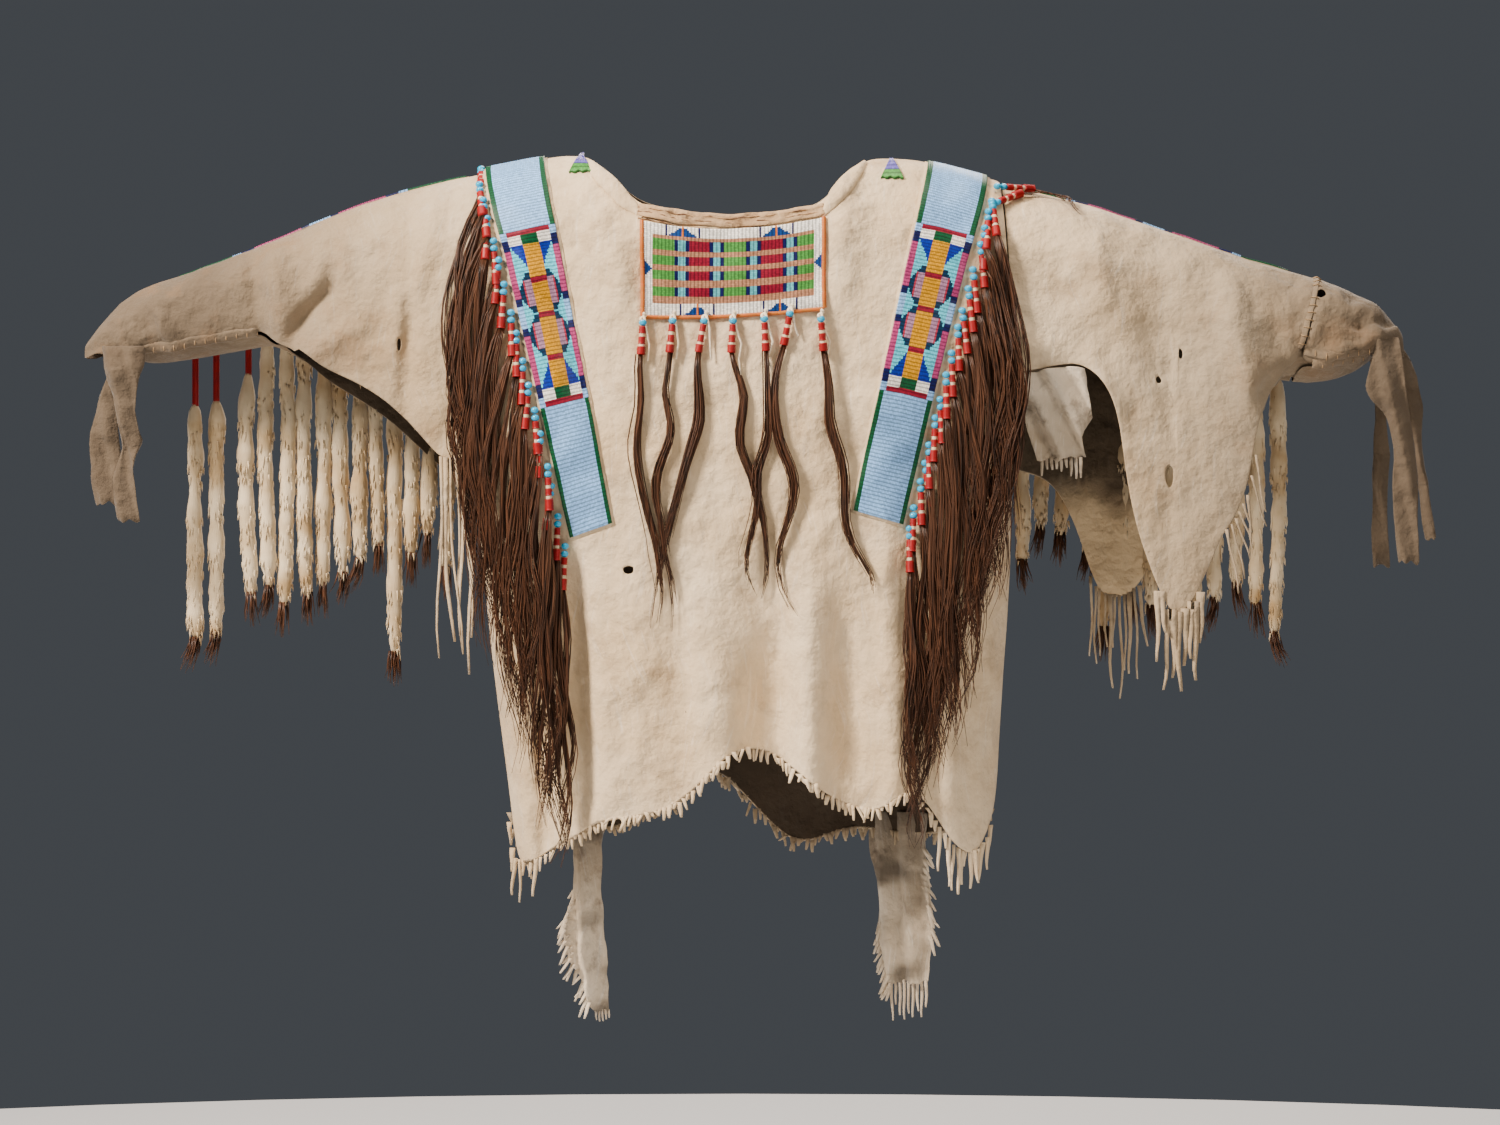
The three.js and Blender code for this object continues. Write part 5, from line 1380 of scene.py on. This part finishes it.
# The ties, hind legs and armpit flap
# Loose ends of the hides left in their own shape: they curl and twist, and are as raw as the rest.
# Flat width and length in metres, and the share of that rectangle which the end fills
ENDS = {
    "cuff_tie_back_right": (0.036, 0.20, 0.80),
    "cuff_tie_front_right": (0.054, 0.21, 0.62),
    "cuff_tie_outer_left": (0.032, 0.23, 0.75),
    "cuff_tie_middle_left": (0.050, 0.27, 0.72),
    "cuff_tie_inner_left": (0.027, 0.27, 0.76),
    "back_leg_right": (0.064, 0.24, 0.8),
    "back_leg_left": (0.098, 0.21, 0.87),
    "armpit_flap_left": (0.110, 0.11, 0.85),
}
END_SWELL = 0.0045
# How the loose ends are pleated: slant, distance and height of the pleats, by the start of their names
END_FOLDS = {"cuff": (0.22, 0.026, 0.0032), "back": (0.06, 0.027, 0.0064), "armp": (0.55, 0.034, 0.0075)}
RAGGED = 0.016
LEG_SHADE = (-0.86, -0.77)

old_hide = buckskin("weathered buckskin", "#9B8A72", "#75654F", "#463627", "#C4B59B")
white_hide = buckskin("buckskin with its hair side out", "#EADBC3", "#AE9777", "#50392A", "#FBF6EC", 26.0, 1.0)
for node, (wide, long, share) in ENDS.items():
    kind = node[:4]
    slant, every, deep = END_FOLDS[kind]
    piece = soft_copy(node, node + "_hide", old_hide if kind == "cuff" else white_hide, 0.9)
    foot = min(vertex.co.z for vertex in piece.data.vertices)
    soil_and_hem_shadow = []
    for vertex in piece.data.vertices:
        place = vertex.co
        spot = Vector((place.x, 0, place.z))
        lift = END_SWELL * noise.noise(spot * 28) + 0.5 * END_SWELL * noise.noise(spot * 75)
        lift += deep * (4 * abs((place.x + slant * place.z) / every % 1 - 0.5) - 1)
        near_foot = max(0, 1 - (place.z - foot) / RAGGED)
        vertex.co = place + Vector((lift * 0.5, lift, RAGGED * 0.5 * near_foot * noise.noise(spot * 140)))
        # Dark blotches are stains; the darkening that grows towards the top of the hind legs, under the hem, is
        # painted shadow
        blotch = 1.8 * noise.noise(spot * 26) - 0.1
        under_hem = 0.6 * (place.z - LEG_SHADE[0]) / (LEG_SHADE[1] - LEG_SHADE[0])
        soil_and_hem_shadow.append(min(0.75, max(0, blotch) + max(0, under_hem)) if kind == "back" else 0)
    paint_points(piece, "painted_shade_and_soil", soil_and_hem_shadow)
    attach(piece, "hide", node)

# The cut fringes
# Narrow strips cut into the raw edges with a knife: short along the hems, long on the sleeves' lower
# flaps and under the arm. Each strip is flat, a little twisted, and drawn out at its end.
STRIP_THICK = 0.0013
ROOT_UP = 0.003


def fringe(name, roots, material, *nodes, uncut=0):
    """Cut strips, each a row of root place, length, width and lean, in one mesh; uncut is the share above
    the cuts, where they are still one sheet."""
    bm = bmesh.new()
    draw = random.Random(name)
    deepest = uncut
    for root, long, wide, lean in roots:
        uncut = deepest * draw.uniform(0.55, 1.15)
        twist = draw.uniform(-0.9, 0.9)
        first = draw.uniform(-0.35, 0.35)
        curl = draw.uniform(-0.10, 0.10) * long
        rows = 3 if long < 0.03 else 7
        strip = bmesh.ops.create_grid(bm, x_segments=1, y_segments=rows, size=0.5)["verts"]
        wave = draw.uniform(0, 2 * math.pi)
        for vertex in strip:
            across = vertex.co.x
            share = 0.5 - vertex.co.y
            freed = max(0, share - uncut) / (1 - uncut)
            angle = first * min(1, freed * 3) + twist * freed
            half = wide * (1 - 0.55 * freed * freed) * across * (0.72 if uncut and freed > 0 else 1)
            sway = 0.03 * long * math.sin(wave + 5 * freed)
            vertex.co = root + Vector((math.cos(angle) * half + lean * share + sway * freed,
                                       math.sin(angle) * half + curl * freed * freed,
                                       -long * share))
    piece = piece_of(bm, name, material)
    walled(piece, STRIP_THICK)
    return attach(piece, "hide", *nodes)


def lowest_edge(node, x, face, reach=0.006):
    """The lower edge of a hide near a place: its height and depth."""
    found = None
    for vertex in hides[node].data.vertices:
        place = vertex.co
        if abs(place.x - x) < reach and face * place.y > -0.002 and (found is None or place.z < found.z):
            found = place
    return found


HEM_STEP = 0.0046
HEM_ENDS = (-0.262, 0.296)
HEM_CORNER = 0.228
draw = random.Random(8)
for side, face in (("front", -1), ("back", 1)):
    roots = []
    x = HEM_ENDS[0]
    while x < HEM_ENDS[1]:
        edge = lowest_edge("body_" + side, x, face)
        corner = face < 0 and abs(x) > HEM_CORNER
        if edge is not None:
            long = draw.uniform(0.018, 0.056) if corner else draw.uniform(0.005, 0.018)
            lean = draw.gauss(0, 0.0045) if corner else draw.gauss(0, 0.003)
            roots.append((Vector((x, edge.y, edge.z + ROOT_UP)), long, HEM_STEP * draw.uniform(0.7, 1.4), lean))
        x += HEM_STEP * draw.uniform(0.85, 1.3)
    strips = fringe(f"hem_strips_{side}", roots, hide, f"hem_fringe_{side}")
    # The back hem strips get an even painted shade
    paint_points(strips, "painted_shade_and_soil", [0 if face < 0 else 0.45] * len(strips.data.vertices))

# Start of the name, the node that carries the strips and the one that they stand for; face, first and last
# x, number of strips, shortest and longest, lean, and the share that isn't cut
FLUSH = 0.0008
SLEEVE_FRINGES = [
    ("left_sleeve_front", "sleeve_left", "sleeve_fringe_front_left", -1, 0.474, 0.532, 9, 0.040, 0.096, 0.001, 0.3),
    ("left_sleeve_wrist", "sleeve_left", "sleeve_fringe_wrist_left", -1, 0.556, 0.594, 8, 0.032, 0.078, 0.014, 0.2),
    ("left_sleeve_back", "sleeve_left", "sleeve_fringe_back_left", 1, 0.408, 0.470, 11, 0.060, 0.125, 0.002, 0.15),
    ("right_flank", "sleeve_right", "flank_fringe_right", -1, -0.338, -0.300, 7, 0.20, 0.262, 0.006, 0),
]
for name, node, stands_for, face, first, last, count, short, long, lean, uncut in SLEEVE_FRINGES:
    roots = []
    step = (last - first) / count
    for k in range(count):
        x = first + step * (k + draw.uniform(0.3, 0.7))
        edge = lowest_edge(node, x, face)
        place = Vector((x, edge.y - FLUSH, edge.z + ROOT_UP))
        wide = step * (draw.uniform(1.1, 1.6) if uncut > 0.25 else draw.uniform(0.5, 1.1))
        roots.append((place, draw.uniform(short, long), wide, lean + draw.gauss(0, 0.003)))
    fringe(name + "_strips", roots, hide, stands_for, uncut=uncut)

# Name, the node above and the one that they stand for, number of strips, shortest and longest
END_STRIPS = [
    ("right_leg_strips", "back_leg_right", "leg_fringe_right", 5, 0.008, 0.014),
    ("left_leg_strips", "back_leg_left", "leg_fringe_left", 9, 0.026, 0.050),
    ("armpit_strips", "armpit_flap_left", "armpit_fringe_left", 9, 0.012, 0.026),
]
for name, under, stands_for, count, short, long in END_STRIPS:
    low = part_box(under)[0]
    corners = [v.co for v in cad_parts[under].data.vertices if v.co.z < low.z + 0.004]
    left = min(corners, key=lambda place: place.x)
    right = max(corners, key=lambda place: place.x)
    wide = 0.75 * (right.x - left.x) / count
    roots = [(left.lerp(right, (k + 0.5) / count) + Vector((0, 0, ROOT_UP)), draw.uniform(short, long), wide, 0.001)
             for k in range(count)]
    fringe(name, roots, white_hide, stands_for)

# The legs' side edges are cut too: node, side, top and foot in millimetres
LEG_EDGES = [("back_leg_right", -1, -840, -975), ("back_leg_left", -1, -880, -968), ("back_leg_left", 1, -790, -900)]
LEG_STEP = 5.2
roots = []
for node, way, top, foot in LEG_EDGES:
    skin_points = [v.co for v in bpy.data.objects[node + "_hide"].data.vertices]
    z = top * MM
    while z > foot * MM:
        level = sorted(skin_points, key=lambda place: abs(place.z - z))[:24]
        edge = max(level, key=lambda place: way * place.x)
        place = edge + Vector((-way * 0.002, 0, 0))
        roots.append((place, draw.uniform(0.010, 0.024), LEG_STEP * MM * 0.9, way * draw.uniform(0.004, 0.012)))
        z -= LEG_STEP * MM * draw.uniform(0.8, 1.3)
fringe("leg_side_strips", roots, white_hide)
